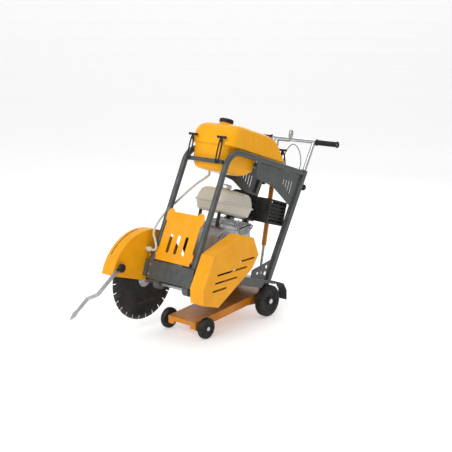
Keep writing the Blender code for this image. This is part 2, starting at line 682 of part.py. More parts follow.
seat_gap = 0.0008
low = belt_loop(seat_gap)
top = belt_loop(seat_gap + BELT_T)
x0 = PULLEY_X - groove
x1 = PULLEY_X + groove
add("v_belt", loft([[(x0, *p) for p in low], [(x0, *p) for p in top], [(x1, *p) for p in top],
                    [(x1, *p) for p in low]], closed=True), frame, RUBBER, (PULLEY_X, SHAFT_Y, 0), 30)

# belt guard: closed outer face, open towards the frame
guard = [(-0.663, 0.199), (-0.467, 0.333), (-0.373, 0.334), (-0.301, 0.251), (-0.335, 0.168),
         (-0.551, -0.056), (-0.672, -0.056), (-0.698, 0.017)]
bg = add("belt_guard", prism(guard, BELT_GUARD_IN, BELT_GUARD_OUT), frame, PAINT_Y,
         (BELT_GUARD_IN, SHAFT_Y, 0))
cut(bg, prism(inset(guard, BELT_GUARD_WALL), BELT_GUARD_IN - 0.01, BELT_GUARD_OUT - BELT_GUARD_WALL))
for (ya, za), (yb, zb) in (((-0.446, 0.197), (-0.335, 0.231)), ((-0.607, 0.107), (-0.385, 0.175)),
                           ((-0.612, 0.064), (-0.450, 0.113)), ((-0.620, 0.020), (-0.520, 0.051))):
    d = Vector((yb - ya, zb - za)).normalized() * 0.005
    n = Vector((-d.y, d.x))
    a = Vector((ya, za))
    b = Vector((yb, zb))
    slot = [tuple(a - d), tuple(a + n * 0.9), tuple(b + n * 0.9), tuple(b + d), tuple(b - n * 0.9), tuple(a - n * 0.9)]
    cut(bg, prism(slot, BELT_GUARD_OUT - 0.02, BELT_GUARD_OUT + 0.01))

# blade guard: half disc, open below, notch for the shaft
rim = BLADE_R + GUARD_GAP
half_disc = [(SHAFT_Y - rim, -0.006)]
half_disc += [(SHAFT_Y + rim * math.cos(t), rim * math.sin(t)) for t in (math.pi * (1 - k / 20) for k in range(21))]
half_disc += [(SHAFT_Y + rim, -0.006)]
bguard = add("blade_guard", prism(half_disc, GUARD_OUT, GUARD_IN), frame, PAINT_Y, (GUARD_IN, SHAFT_Y, 0), 30)
hollow = [(SHAFT_Y - rim + GUARD_WALL, -0.05)]
hollow += [(SHAFT_Y + (rim - GUARD_WALL) * math.cos(t), (rim - GUARD_WALL) * math.sin(t))
           for t in (math.pi * (1 - k / 20) for k in range(21))]
hollow += [(SHAFT_Y + rim - GUARD_WALL, -0.05)]
cut(bguard, prism(hollow, GUARD_OUT + GUARD_WALL, GUARD_IN - GUARD_WALL))
cut(bguard, rod(GUARD_IN - 0.01, GUARD_IN + 0.01, SHAFT_Y, 0, SHAFT_R + 0.012, 20))

# bracket between the beam's end and the guard
bk0 = GUARD_IN + GAP
bk1 = -BEAM_HALF - GAP
bracket = [(BEAM_FRONT - 0.004, 0.020), (BEAM_FRONT + 0.012, 0.020), (SHAFT_Y - 0.028, 0.026), (SHAFT_Y, 0.032),
           (SHAFT_Y + 0.028, 0.026), (BEAM_FRONT + BEAM_DEPTH, 0.020), (BEAM_FRONT + BEAM_DEPTH, BEAM_TOP - 0.002),
           (BEAM_FRONT - 0.004, BEAM_TOP - 0.002)]
add("guard_bracket", prism(bracket, bk0, bk1), frame, (GREY, 0.5, 0.2), (bk0, SHAFT_Y, 0))

# pointer: folds about its knob's screw on the guard's inner face
PIVOT = (-0.870, 0.043)
POINT_LEN = 0.372
POINT_JOG = 0.190
point_dir = math.atan2(-0.294, -0.226)
pu = Vector((0, math.cos(point_dir), math.sin(point_dir)))
pv = Vector((0, -pu.z, pu.y))
centre = Vector((0, *PIVOT))
arm_x = GUARD_IN + GAP + 0.0005
arm_t = 0.004
screw_r = 0.004


def arm_ring(d, w, x):
    p = centre + pu * d
    return [p + pv * w + Vector((x, 0, 0)), p - pv * w + Vector((x, 0, 0)),
            p - pv * w + Vector((x + arm_t, 0, 0)), p + pv * w + Vector((x + arm_t, 0, 0))]


far_x = BLADE_X - arm_t / 2
arm = add("pointer_arm", loft([arm_ring(-0.014, 0.012, arm_x), arm_ring(POINT_JOG, 0.012, arm_x),
                               arm_ring(POINT_JOG + 0.040, 0.011, far_x), arm_ring(POINT_LEN - 0.060, 0.010, far_x),
                               arm_ring(POINT_LEN - 0.030, 0.014, far_x), arm_ring(POINT_LEN, 0.004, far_x)]),
          frame, METAL, (arm_x, *PIVOT))
cut(arm, rod(arm_x - 0.01, arm_x + 0.01, *PIVOT, screw_r + RUN, 16))
cut(bguard, rod(GUARD_IN - 0.02, GUARD_IN + 0.01, *PIVOT, screw_r + RUN, 16))
k0 = arm_x + arm_t + GAP
prof = [(GUARD_IN - GUARD_WALL - 0.006, screw_r), (k0, screw_r), (k0, 0.012), (k0 + 0.004, 0.012),
        (k0 + 0.005, 0.022), (k0 + 0.008, 0.0235), (k0 + 0.018, 0.0235), (k0 + 0.021, 0.020)]
add("pointer_knob", solid_turned(prof, *PIVOT, 16), frame, PLASTIC, (k0, *PIVOT), 35)

# ---------------------------------------------------------------- engine
deck = DECK_TOP + GAP
case = [(-0.495, deck), (-0.285, deck), (-0.285, deck + 0.014), (-0.296, deck + 0.020), (-0.290, 0.300),
        (-0.330, 0.352), (-0.440, 0.352), (-0.486, 0.306), (-0.490, deck + 0.020), (-0.495, deck + 0.014)]
crank_case = add("engine_crankcase", prism(case, -0.098, 0.108), frame, CAST, (0, *CRANK))
weld(crank_case, solid_turned([(0.100, 0.088), (0.1135, 0.084), (0.117, 0.030), (0.1185, 0.026)], *CRANK, 24))
tilt = math.radians(25)
cu = Vector((math.cos(tilt), math.sin(tilt)))
cv = Vector((-cu.y, cu.x))
base_d = 0.122


def cyl(d, w):
    p = Vector(CRANK) + cu * (base_d + d) + cv * w
    return (p.x, p.y)


comb_top = []
for k in range(5):
    comb_top += [(0.006 + 0.014 * k, 0.050), (0.006 + 0.014 * k, 0.068), (0.013 + 0.014 * k, 0.068), (0.013 + 0.014 * k, 0.050)]
comb = [(0.0, 0.050)] + comb_top + [(0.076, 0.068), (0.124, 0.062), (0.128, 0.050)]
shape = [cyl(d, w) for d, w in comb] + [cyl(d, -w) for d, w in reversed(comb)]
add("engine_cylinder", prism(shape, -0.068, 0.068), frame, CAST, (0, *CRANK))

fx = -0.022
levels = [(0.428, -0.455, -0.215, 0.080, 0.030), (0.438, -0.470, -0.200, 0.095, 0.030),
          (0.481, -0.478, -0.192, 0.104, 0.028), (0.484, -0.486, -0.184, 0.112, 0.030),
          (0.490, -0.486, -0.184, 0.112, 0.030), (0.493, -0.478, -0.192, 0.104, 0.028),
          (0.548, -0.466, -0.204, 0.095, 0.030), (0.564, -0.446, -0.224, 0.078, 0.030)]
fuel_y = -0.345


def shell(levels, wall, neck_y, neck_r, neck_h, shift=0.0, under=1, skip=()):
    """Hollow vessel: outer rings up to the neck's rim, then inner rings down."""
    def ring(z, y0, y1, half, corner):
        return [(x + shift, y, h) for x, y, h in ring_xy(y0, y1, half, corner, z)]
    rings = [ring(*level) for level in levels]
    top = levels[-1][0]
    rings.append(neck_ring(shift, neck_y, neck_r, top))
    rings.append(neck_ring(shift, neck_y, neck_r, top + neck_h))
    rings.append(neck_ring(shift, neck_y, neck_r - wall, top + neck_h))
    rings.append(neck_ring(shift, neck_y, neck_r - wall, top - wall))
    for k in reversed([k for k in range(len(levels)) if k not in skip]):
        z, y0, y1, half, corner = levels[k]
        rise = wall if k < under else -wall if k == len(levels) - 1 else -0.4 * wall
        rings.append(ring(z + rise, y0 + wall, y1 - wall, half - wall, corner - wall * 0.5))
    return loft(rings), top + neck_h


bm, fuel_top = shell(levels, FUEL_WALL, fuel_y, FUEL_NECK_R, 0.015, fx, under=2, skip=(3, 4))
add("fuel_tank", bm, frame, (CREAM, 0.30, 0.0), (fx, fuel_y, 0.428), 35)


def cap(name, x, y, top, neck_r, cap_r, look):
    """Screw cap over a neck: skirt outside it, lid above, open below."""
    inner = neck_r + 0.0006
    low = top - 0.009
    lid = top + 0.0006
    rings = []
    for z, r in ((lid, 0.002), (lid, inner), (low, inner), (low, cap_r - 0.001), (low + 0.003, cap_r), (lid + 0.009, cap_r),
                 (lid + 0.013, cap_r - 0.004), (lid + 0.014, cap_r * 0.45)):
        rings.append([(x + r * math.cos(t), y + r * math.sin(t), z)
                      for t in (2 * math.pi * k / 18 for k in range(18))])
    return add(name, loft(rings), frame, look, (x, y, top), 35)


cap("fuel_cap", fx, fuel_y, fuel_top, FUEL_NECK_R, FUEL_CAP_R, BRIGHT)

recoil = [(-0.0995, 0.098), (-0.128, 0.098), (-0.140, 0.086), (-0.148, 0.050), (-0.150, 0.020)]
add("recoil_starter", solid_turned(recoil, *CRANK, 24), frame, PLASTIC, (-0.0995, *CRANK), 35)
pull = Vector((-0.62, 0.40, 0.675)).normalized()
grab = Vector((-0.152, CRANK[0] + 0.040, CRANK[1] + 0.075))
pull_side = Vector((0, 1, 0))
pull_side = (pull_side - pull * pull_side.dot(pull)).normalized()
pull_up = pull.cross(pull_side)
rings = []
for d, a, b in ((0.003, 0.006, 0.006), (0.012, 0.008, 0.006), (0.018, 0.036, 0.007), (0.030, 0.036, 0.007), (0.034, 0.028, 0.005)):
    rings.append([grab + pull * d + pull_side * (a * math.cos(t)) + pull_up * (b * math.sin(t))
                  for t in (2 * math.pi * k / 12 for k in range(12))])
add("recoil_handle", loft(rings), frame, PLASTIC, tuple(grab), 40)

filter_rings = [(0.425, -0.175, -0.030, 0.050, 0.016), (0.432, -0.183, -0.022, 0.0565, 0.018),
                (0.520, -0.183, -0.022, 0.0565, 0.018), (0.523, -0.179, -0.026, 0.053, 0.018),
                (0.575, -0.176, -0.030, 0.051, 0.020), (0.588, -0.160, -0.046, 0.038, 0.018)]
add("air_filter", loft([[(x - 0.0785, y, h) for x, y, h in ring_xy(y0, y1, hx, c, z)]
                        for z, y0, y1, hx, c in filter_rings]), frame, PLASTIC, (-0.0785, -0.100, 0.425), 35)

m = (0.022, 0.124, -0.113, 0.046, 0.430, 0.568)
muff = add("muffler_guard", box(*m), frame, PLASTIC, (m[0], m[2], m[4]))
cut(muff, box(m[0] - 0.01, m[1] - 0.0015, m[2] + 0.0015, m[3] - 0.0015, m[4] + 0.0015, m[5] - 0.0015))
for r in range(6):
    for c in range(2):
        y = m[2] + 0.012 + 0.072 * c
        z = m[4] + 0.014 + 0.0205 * r
        cut(muff, box(m[1] - 0.01, m[1] + 0.01, y, y + 0.060, z, z + 0.008))

# ---------------------------------------------------------------- water tank
belly = FRAME_HALF - TUBE_R - 0.014
wide = FRAME_HALF + 0.003
ledge = FRAME_TOP + TUBE_R + 0.003
levels = [(ledge - 0.135, -0.545, -0.400, belly - 0.045, 0.030), (ledge - 0.127, -0.570, -0.345, belly - 0.018, 0.030),
          (ledge - 0.092, -0.581, -0.300, belly, 0.026), (ledge - 0.008, -0.585, -0.296, belly, 0.026),
          (ledge, -0.590, -0.070, wide - 0.004, 0.045), (ledge + 0.012, -0.594, -0.066, wide, 0.050),
          (ledge + 0.055, -0.588, -0.108, wide - 0.001, 0.055), (ledge + 0.095, -0.568, -0.150, wide - 0.006, 0.055),
          (ledge + 0.117, -0.540, -0.190, wide - 0.018, 0.050), (ledge + 0.128, -0.526, -0.230, wide - 0.040, 0.045)]
# the tank is full of water, so it is one solid up to its neck
tank_top = levels[-1][0] + 0.015
rings = [ring_xy(y0, y1, half, corner, z) for z, y0, y1, half, corner in levels]
rings += [neck_ring(0, TANK_NECK_Y, TANK_NECK_R, z) for z in (levels[-1][0], tank_top)]
bm = loft(rings)
add("water_tank", bm, frame, (YELLOW, 0.40, 0.0), (0, TANK_NECK_Y, ledge), 35)
cap("tank_cap", 0, TANK_NECK_Y, tank_top, TANK_NECK_R, TANK_CAP_R, PLASTIC)

strap_x = 0.100
for s, label in ((1, "left"), (-1, "right")):
    for end, name in ((-1, "front"), (1, "rear")):
        if end < 0:
            base_y, base_z, lean_s, tall_s = front_bar_y - 0.012 - GAP - 0.006, front_bar_z - 0.014, 0.02, 0.150
        else:
            base_y, base_z, lean_s, tall_s = rear_bar_y + 0.012 + GAP + 0.001, FRAME_TOP + 0.004, -0.50, 0.112
        u = Vector((0, math.sin(lean_s), math.cos(lean_s)))
        v = Vector((0, math.cos(lean_s), -math.sin(lean_s)))
        shape = [(-0.008, 0), (0.008, 0), (0.008, tall_s - 0.016), (0.030, tall_s - 0.014), (0.030, tall_s),
                 (-0.030, tall_s), (-0.030, tall_s - 0.014), (-0.008, tall_s - 0.016)]
        o = Vector((s * strap_x, base_y, base_z))
        rings = [[o + Vector((a, 0, 0)) + u * b + v * d for a, b in shape] for d in (0.0, 0.006)]
        add("strap_" + name + "_" + label, loft(rings), frame, RUBBER, tuple(o))

# ---------------------------------------------------------------- depth spindle
lug = Vector((0, LUG[0], LUG[1] - REAR_R))
lug = Matrix.Rotation(TILT, 3, "X") @ lug
top = spindle_u
down = (lug - top).normalized()
side = Vector((1, 0, 0))
back = down.cross(side)
reach = (lug - top).length
SPINDLE_R = 0.0140
SPINDLE_BORE = 0.0100
SPINDLE_LEN = 0.400
ROD_R = 0.0080
ROD_IN = 0.120


def along_spindle(rings, count=16):
    return [[top + down * d + r * (math.cos(t) * side + math.sin(t) * back)
             for t in (2 * math.pi * k / count for k in range(count))] for d, r in rings]


turn = top.copy()
tube = add("spindle_tube", loft(along_spindle([(-0.024, SPINDLE_R), (SPINDLE_LEN, SPINDLE_R),
                                               (SPINDLE_LEN, SPINDLE_BORE), (SPINDLE_LEN - ROD_IN - 0.06, SPINDLE_BORE)])),
           frame, PAINT_O, tuple(turn), 30)
weld(tube, rod(-0.029, 0.029, top.y, top.z, 0.006, 12))
eye_r = 0.0135
rod_obj = add("spindle_rod", loft(along_spindle([(SPINDLE_LEN - ROD_IN, ROD_R), (reach - 0.004, ROD_R)])),
              frame, METAL, tuple(lug), 30)
weld(rod_obj, rod(-LUG_IN + 0.0012, LUG_IN - 0.0012, lug.y, lug.z, eye_r, 16))
cut(rod_obj, rod(-0.05, 0.05, lug.y, lug.z, LUG_PIN_R + 0.0030, 16))
CRANK_R = 0.085
stem = 0.024
crank_top = 0.222
c = top - down * crank_top
arm_dir = Vector((1, 0, 0))
path = [top - down * (stem + GAP), top - down * (crank_top - 0.03)]
path += bend(path[0], c, c + arm_dir * 0.2, 0.012, 4)
grip_foot = c + arm_dir * CRANK_R
path += bend(c, grip_foot, grip_foot - down * 0.1, 0.010, 4)
path += [grip_foot - down * 0.022]
crank = add("depth_crank", sweep(path, 0.006, 10), frame, BRIGHT, tuple(c), 35)
u, v = Vector((1, 0, 0)), back
weld(crank, loft([[grip_foot - down * d + r * (math.cos(t) * u + math.sin(t) * v)
                   for t in (2 * math.pi * k / 12 for k in range(12))]
                  for d, r in ((0.020, 0.009), (0.023, 0.012), (0.048, 0.013), (0.060, 0.011), (0.064, 0.007))]))

# ---------------------------------------------------------------- water hose
couple = Vector((GUARD_IN, -0.700, 0.165))
prof = [(GUARD_IN + GAP, 0.010), (GUARD_IN + 0.016, 0.011), (GUARD_IN + 0.016, 0.014), (GUARD_IN + 0.030, 0.014),
        (GUARD_IN + 0.033, 0.009), (GUARD_IN + 0.040, 0.008)]
add("hose_coupling", solid_turned(prof, couple.y, couple.z, 16), frame, (ZINC, 0.4, 0.0), tuple(couple), 35)
hose_r = 0.006
tank_out = Vector((-0.060, -0.470, ledge - 0.135 - 0.0015))
knots = [(GUARD_IN + 0.0412, couple.y, couple.z), (GUARD_IN + 0.056, couple.y, couple.z),
         (GUARD_IN + 0.066, couple.y, couple.z + 0.018), (GUARD_IN + 0.050, couple.y + 0.001, couple.z + 0.050),
         (-0.160, -0.698, 0.255), (-0.1735, -0.668, 0.310), (-0.1725, -0.620, 0.380),
         (-0.150, -0.572, 0.450), (-0.112, -0.550, 0.510), (-0.080, -0.520, 0.565),
         tuple(tank_out - Vector((0, 0, 0.024))), tuple(tank_out)]


def smooth_path(knots, each=4):
    pts = [Vector(k) for k in knots]
    pts = [2 * pts[0] - pts[1]] + pts + [2 * pts[-1] - pts[-2]]
    out = []
    for i in range(1, len(pts) - 2):
        p0_, p1_, p2_, p3_ = pts[i - 1:i + 3]
        for k in range(each):
            t = k / each
            out.append(0.5 * ((2 * p1_) + (p2_ - p0_) * t + (2 * p0_ - 5 * p1_ + 4 * p2_ - p3_) * t * t
                              + (3 * p1_ - p0_ - 3 * p2_ + p3_) * t * t * t))
    out.append(pts[-2])
    return out


add("water_hose", sweep(smooth_path(knots), hose_r, 8), frame, (ZINC, 0.5, 0.0), tuple(knots[0]), 60)

# ---------------------------------------------------------------- stand the saw on its footprint centre
bpy.context.view_layer.update()
depsgraph = bpy.context.evaluated_depsgraph_get()
corners = []
for obj in bpy.data.objects:
    if obj.type == "MESH" and not obj.hide_render:
        solid = obj.evaluated_get(depsgraph)
        corners += [obj.matrix_world @ v.co for v in solid.to_mesh().vertices]
        solid.to_mesh_clear()
low = [min(p[i] for p in corners) for i in range(3)]
high = [max(p[i] for p in corners) for i in range(3)]
layout.location = (-(low[0] + high[0]) / 2, -(low[1] + high[1]) / 2, -low[2])
bpy.context.view_layer.update()
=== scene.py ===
import json
import math
import bmesh
import bpy
import numpy as np
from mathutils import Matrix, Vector

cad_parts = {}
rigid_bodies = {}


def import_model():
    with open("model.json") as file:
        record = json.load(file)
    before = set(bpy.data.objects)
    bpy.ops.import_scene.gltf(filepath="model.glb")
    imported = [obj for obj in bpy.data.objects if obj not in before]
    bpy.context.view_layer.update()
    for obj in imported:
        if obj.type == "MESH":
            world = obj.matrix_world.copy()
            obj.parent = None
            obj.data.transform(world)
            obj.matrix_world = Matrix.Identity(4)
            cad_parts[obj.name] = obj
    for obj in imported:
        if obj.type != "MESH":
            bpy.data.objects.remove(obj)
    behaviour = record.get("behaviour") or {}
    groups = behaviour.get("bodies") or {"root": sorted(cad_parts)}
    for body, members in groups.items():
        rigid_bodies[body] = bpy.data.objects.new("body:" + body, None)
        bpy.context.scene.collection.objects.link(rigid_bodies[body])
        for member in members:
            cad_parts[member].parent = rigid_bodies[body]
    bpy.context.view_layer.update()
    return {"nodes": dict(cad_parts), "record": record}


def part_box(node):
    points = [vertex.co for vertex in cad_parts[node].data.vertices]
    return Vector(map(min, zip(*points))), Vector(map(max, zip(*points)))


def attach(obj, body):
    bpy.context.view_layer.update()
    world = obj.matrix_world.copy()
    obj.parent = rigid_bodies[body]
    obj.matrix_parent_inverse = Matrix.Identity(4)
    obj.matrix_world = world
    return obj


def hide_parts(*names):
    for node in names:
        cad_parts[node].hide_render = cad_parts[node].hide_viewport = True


for spare in list(bpy.data.objects):  # the start-up cube, camera and lamp
    bpy.data.objects.remove(spare, do_unlink=True)
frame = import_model()
slots = {s["node"]: s["material_slot"] for s in frame["record"]["subparts"]}
bodyOf = {n: b for b, nodes in frame["record"]["behaviour"]["bodies"].items() for n in nodes}
print("frame loaded")

# the frame stands nose-up about the rear axle; its own coordinates are x, y, z from that axle
tilt = math.radians(18)
low, high = (np.array(c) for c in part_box("rear_axle"))
pivot = (low + high) / 2


def toWorld(p):
    # turn by the tilt about the axle, then shift to it
    p = np.asarray(p, float)
    y = p[..., 1] * math.cos(tilt) + p[..., 2] * math.sin(tilt)
    z = -p[..., 1] * math.sin(tilt) + p[..., 2] * math.cos(tilt)
    return np.stack([p[..., 0] + pivot[0], y + pivot[1], z + pivot[2]], -1)


# shader groups shared by the finishes
def newGroup(name, inputs, outputs):
    tree = bpy.data.node_groups.new(name, "ShaderNodeTree")
    for label, kind, value in inputs:
        sock = tree.interface.new_socket(label, in_out="INPUT", socket_type="NodeSocket" + kind)
        if value is not None:
            sock.default_value = value
    for label, kind in outputs:
        tree.interface.new_socket(label, in_out="OUTPUT", socket_type="NodeSocket" + kind)
    return tree, tree.nodes.new("NodeGroupInput"), tree.nodes.new("NodeGroupOutput")


def makeGrain():
    # fine noise for height, and a slow noise for patches
    t, i, o = newGroup("surfaceGrain", [("Vector", "Vector", None), ("Fine Scale", "Float", 900.0),
                                        ("Patch Scale", "Float", 9.0)], [("Height", "Float"), ("Patch", "Float")])
    fine = t.nodes.new("ShaderNodeTexNoise")
    patch = t.nodes.new("ShaderNodeTexNoise")
    patch.inputs["Detail"].default_value = 5.0
    patch.inputs["Roughness"].default_value = 0.6
    t.links.new(i.outputs["Vector"], fine.inputs["Vector"])
    t.links.new(i.outputs["Fine Scale"], fine.inputs["Scale"])
    t.links.new(i.outputs["Vector"], patch.inputs["Vector"])
    t.links.new(i.outputs["Patch Scale"], patch.inputs["Scale"])
    t.links.new(fine.outputs[0], o.inputs["Height"])
    t.links.new(patch.outputs[0], o.inputs["Patch"])
    return t


def makeDust():
    # pale cutting dust lies where the surface faces up and the patch noise is high
    t, i, o = newGroup("settledDust", [("Vector", "Vector", None), ("Amount", "Float", 0.3)], [("Mask", "Float")])
    geo = t.nodes.new("ShaderNodeNewGeometry")
    sep = t.nodes.new("ShaderNodeSeparateXYZ")
    noise = t.nodes.new("ShaderNodeTexNoise")
    noise.inputs["Scale"].default_value = 26.0
    noise.inputs["Detail"].default_value = 6.0
    up = t.nodes.new("ShaderNodeMapRange")
    up.inputs["From Min"].default_value = -0.3
    up.inputs["From Max"].default_value = 1.0
    spots = t.nodes.new("ShaderNodeMapRange")
    spots.inputs["From Min"].default_value = 0.42
    spots.inputs["From Max"].default_value = 0.75
    a = t.nodes.new("ShaderNodeMath")
    a.operation = "MULTIPLY"
    b = t.nodes.new("ShaderNodeMath")
    b.operation = "MULTIPLY"
    t.links.new(geo.outputs["Normal"], sep.inputs[0])
    t.links.new(sep.outputs["Z"], up.inputs["Value"])
    t.links.new(i.outputs["Vector"], noise.inputs["Vector"])
    t.links.new(noise.outputs[0], spots.inputs["Value"])
    t.links.new(up.outputs[0], a.inputs[0])
    t.links.new(spots.outputs[0], a.inputs[1])
    t.links.new(a.outputs[0], b.inputs[0])
    t.links.new(i.outputs["Amount"], b.inputs[1])
    t.links.new(b.outputs[0], o.inputs["Mask"])
    return t


def makeScratch():
    # thin streaks: noise stretched along one axis, cut to its highest values
    t, i, o = newGroup("fineScratches", [("Vector", "Vector", None), ("Scale", "Float", 60.0),
                                         ("Level", "Float", 0.66)], [("Mask", "Float")])
    mapping = t.nodes.new("ShaderNodeMapping")
    mapping.inputs["Scale"].default_value = (1.0, 0.06, 0.5)
    mapping.inputs["Rotation"].default_value = (0.5, 0.3, 0.4)
    noise = t.nodes.new("ShaderNodeTexNoise")
    noise.inputs["Detail"].default_value = 3.0
    step = t.nodes.new("ShaderNodeMath")
    step.operation = "SUBTRACT"
    gain = t.nodes.new("ShaderNodeMath")
    gain.operation = "MULTIPLY"
    gain.use_clamp = True
    gain.inputs[1].default_value = 14.0
    t.links.new(i.outputs["Vector"], mapping.inputs["Vector"])
    t.links.new(mapping.outputs[0], noise.inputs["Vector"])
    t.links.new(i.outputs["Scale"], noise.inputs["Scale"])
    t.links.new(noise.outputs[0], step.inputs[0])
    t.links.new(i.outputs["Level"], step.inputs[1])
    t.links.new(step.outputs[0], gain.inputs[0])
    t.links.new(gain.outputs[0], o.inputs["Mask"])
    return t


grainGroup = makeGrain()
dustGroup = makeDust()
scratchGroup = makeScratch()


def mixColour(tree, factor, a, b):
    # a and b are sockets or colours
    mix = tree.nodes.new("ShaderNodeMix")
    mix.data_type = "RGBA"
    tree.links.new(factor, mix.inputs[0])
    for value, sock in ((a, mix.inputs[6]), (b, mix.inputs[7])):
        if isinstance(value, tuple):
            sock.default_value = (*value, 1)
        else:
            tree.links.new(value, sock)
    return mix.outputs[2]


def finish(name, colour, shade, rough=0.4, metal=0.0, fine=900.0, height=0.1, patches=9.0, dust=0.2,
           dustColour=(0.55, 0.52, 0.47), scratch=0.0, scratchColour=(0.4, 0.4, 0.4), coat=0.0, roughSpread=0.12,
           subsurface=0.0, level=0.66):
    mat = bpy.data.materials.new(name)
    mat.use_nodes = True
    t = mat.node_tree
    shader = t.nodes["Principled BSDF"]
    coords = t.nodes.new("ShaderNodeTexCoord").outputs["Object"]
    grain = t.nodes.new("ShaderNodeGroup")
    grain.node_tree = grainGroup
    grain.inputs["Fine Scale"].default_value = fine
    grain.inputs["Patch Scale"].default_value = patches
    t.links.new(coords, grain.inputs["Vector"])
    spread = t.nodes.new("ShaderNodeMapRange")
    spread.inputs["From Min"].default_value = 0.35
    spread.inputs["From Max"].default_value = 0.65
    t.links.new(grain.outputs["Patch"], spread.inputs["Value"])
    base = mixColour(t, spread.outputs[0], colour, shade)
    if scratch:
        marks = t.nodes.new("ShaderNodeGroup")
        marks.node_tree = scratchGroup
        marks.inputs["Scale"].default_value = scratch
        marks.inputs["Level"].default_value = level
        t.links.new(coords, marks.inputs["Vector"])
        base = mixColour(t, marks.outputs["Mask"], base, scratchColour)
    if dust:
        powder = t.nodes.new("ShaderNodeGroup")
        powder.node_tree = dustGroup
        powder.inputs["Amount"].default_value = dust
        t.links.new(coords, powder.inputs["Vector"])
        base = mixColour(t, powder.outputs["Mask"], base, dustColour)
    t.links.new(base, shader.inputs["Base Color"])
    roughMap = t.nodes.new("ShaderNodeMapRange")
    roughMap.inputs["To Min"].default_value = max(rough - roughSpread, 0.04)
    roughMap.inputs["To Max"].default_value = min(rough + roughSpread, 1.0)
    t.links.new(grain.outputs["Patch"], roughMap.inputs["Value"])
    t.links.new(roughMap.outputs[0], shader.inputs["Roughness"])
    shader.inputs["Metallic"].default_value = metal
    shader.inputs["Specular IOR Level"].default_value = 0.5 if metal > 0.5 else 0.2
    if coat:
        shader.inputs["Coat Weight"].default_value = coat
        shader.inputs["Coat Roughness"].default_value = 0.15
    if subsurface:
        shader.inputs["Subsurface Weight"].default_value = subsurface
        shader.inputs["Subsurface Radius"].default_value = (0.02, 0.012, 0.003)
    bump = t.nodes.new("ShaderNodeBump")
    bump.inputs["Strength"].default_value = height
    bump.inputs["Distance"].default_value = 0.0006
    t.links.new(grain.outputs["Height"], bump.inputs["Height"])
    t.links.new(bump.outputs[0], shader.inputs["Normal"])
    return mat


finishes = {
    "yellow_paint": finish("yellowPaint", (0.90, 0.395, 0.0015), (0.82, 0.335, 0.001), 0.46, fine=420, height=0.10,
                           dust=0.10, scratch=26, scratchColour=(0.80, 0.40, 0.02), level=0.70, coat=0.08),
    "orange_paint": finish("orangePaint", (0.72, 0.255, 0.010), (0.56, 0.185, 0.008), 0.38, fine=420, height=0.12,
                           dust=0.28, scratch=30, scratchColour=(0.45, 0.22, 0.06), level=0.66, coat=0.15),
    "grey_paint": finish("greyPaint", (0.076, 0.082, 0.082), (0.060, 0.066, 0.066), 0.36, fine=500, height=0.12,
                         dust=0.12, scratch=30, scratchColour=(0.17, 0.18, 0.19), level=0.68, coat=0.2),
    "cream_paint": finish("creamPaint", (0.62, 0.585, 0.50), (0.56, 0.53, 0.45), 0.26, fine=500, height=0.05,
                          dust=0.12, coat=0.5),
    "black_paint": finish("blackPaint", (0.016, 0.016, 0.017), (0.028, 0.027, 0.026), 0.5, fine=700, height=0.2,
                          dust=0.10),
    "zinc": finish("zincPlate", (0.66, 0.68, 0.70), (0.55, 0.57, 0.59), 0.26, 1.0, fine=1500, height=0.05,
                   patches=30, dust=0.08),
    "steel": finish("machinedSteel", (0.46, 0.47, 0.48), (0.36, 0.37, 0.38), 0.36, 1.0, fine=1400, height=0.15,
                    patches=24, dust=0.12, scratch=120, scratchColour=(0.6, 0.6, 0.6), level=0.62),
    "blade_steel": finish("bladeSteel", (0.018, 0.018, 0.020), (0.035, 0.034, 0.034), 0.42, 0.6, fine=1200,
                          height=0.15, patches=14, dust=0.10, scratch=70, scratchColour=(0.07, 0.07, 0.07), level=0.6),
    "cast_alloy": finish("castAlloy", (0.52, 0.53, 0.54), (0.40, 0.41, 0.42), 0.46, 0.85, fine=650, height=0.6,
                         patches=20, dust=0.15),
    "cast_iron": finish("castIron", (0.10, 0.10, 0.105), (0.15, 0.145, 0.14), 0.6, 0.4, fine=500, height=0.8,
                        patches=20, dust=0.2),
    "tank_plastic": finish("tankPlastic", (0.94, 0.430, 0.004), (0.90, 0.385, 0.003), 0.32, fine=300, height=0.12,
                           patches=5, dust=0.06, subsurface=0.12, roughSpread=0.06),
    "black_plastic": finish("blackPlastic", (0.014, 0.014, 0.015), (0.022, 0.022, 0.023), 0.42, fine=900, height=0.3,
                            patches=16, dust=0.10),
    "tyre_rubber": finish("tyreRubber", (0.014, 0.014, 0.015), (0.026, 0.025, 0.024), 0.62, fine=700, height=0.5,
                          patches=14, dust=0.16),
    "black_rubber": finish("blackRubber", (0.015, 0.015, 0.016), (0.024, 0.024, 0.024), 0.58, fine=1000, height=0.4,
                           patches=14, dust=0.08),
    "clear_hose": finish("hosePlastic", (0.62, 0.60, 0.54), (0.55, 0.52, 0.46), 0.28, fine=800, height=0.08,
                         patches=20, dust=0.05, subsurface=0.2),
}
brightBolt = finish("brightBolt", (0.62, 0.63, 0.64), (0.48, 0.49, 0.50), 0.24, 1.0, 1500, 0.1, 40, 0.05)
darkInside = finish("sootySteel", (0.05, 0.042, 0.036), (0.09, 0.07, 0.055), 0.7, 0.5, 500, 0.6, 20, 0.0)
diamondRim = finish("diamondRim", (0.10, 0.10, 0.10), (0.06, 0.06, 0.06), 0.7, 0.5, 1400, 0.9, 60, 0.0)
print("finishes made")


# making pieces
def putObject(name, mesh, body, mat, replaces=(), sharp=35):
    obj = bpy.data.objects.new(name, mesh)
    bpy.context.collection.objects.link(obj)
    mesh.materials.append(mat)
    if sharp is not None:
        mesh.shade_smooth()
        mesh.set_sharp_from_angle(angle=math.radians(sharp))
    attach(obj, body)
    if replaces:
        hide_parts(*replaces)
    return obj


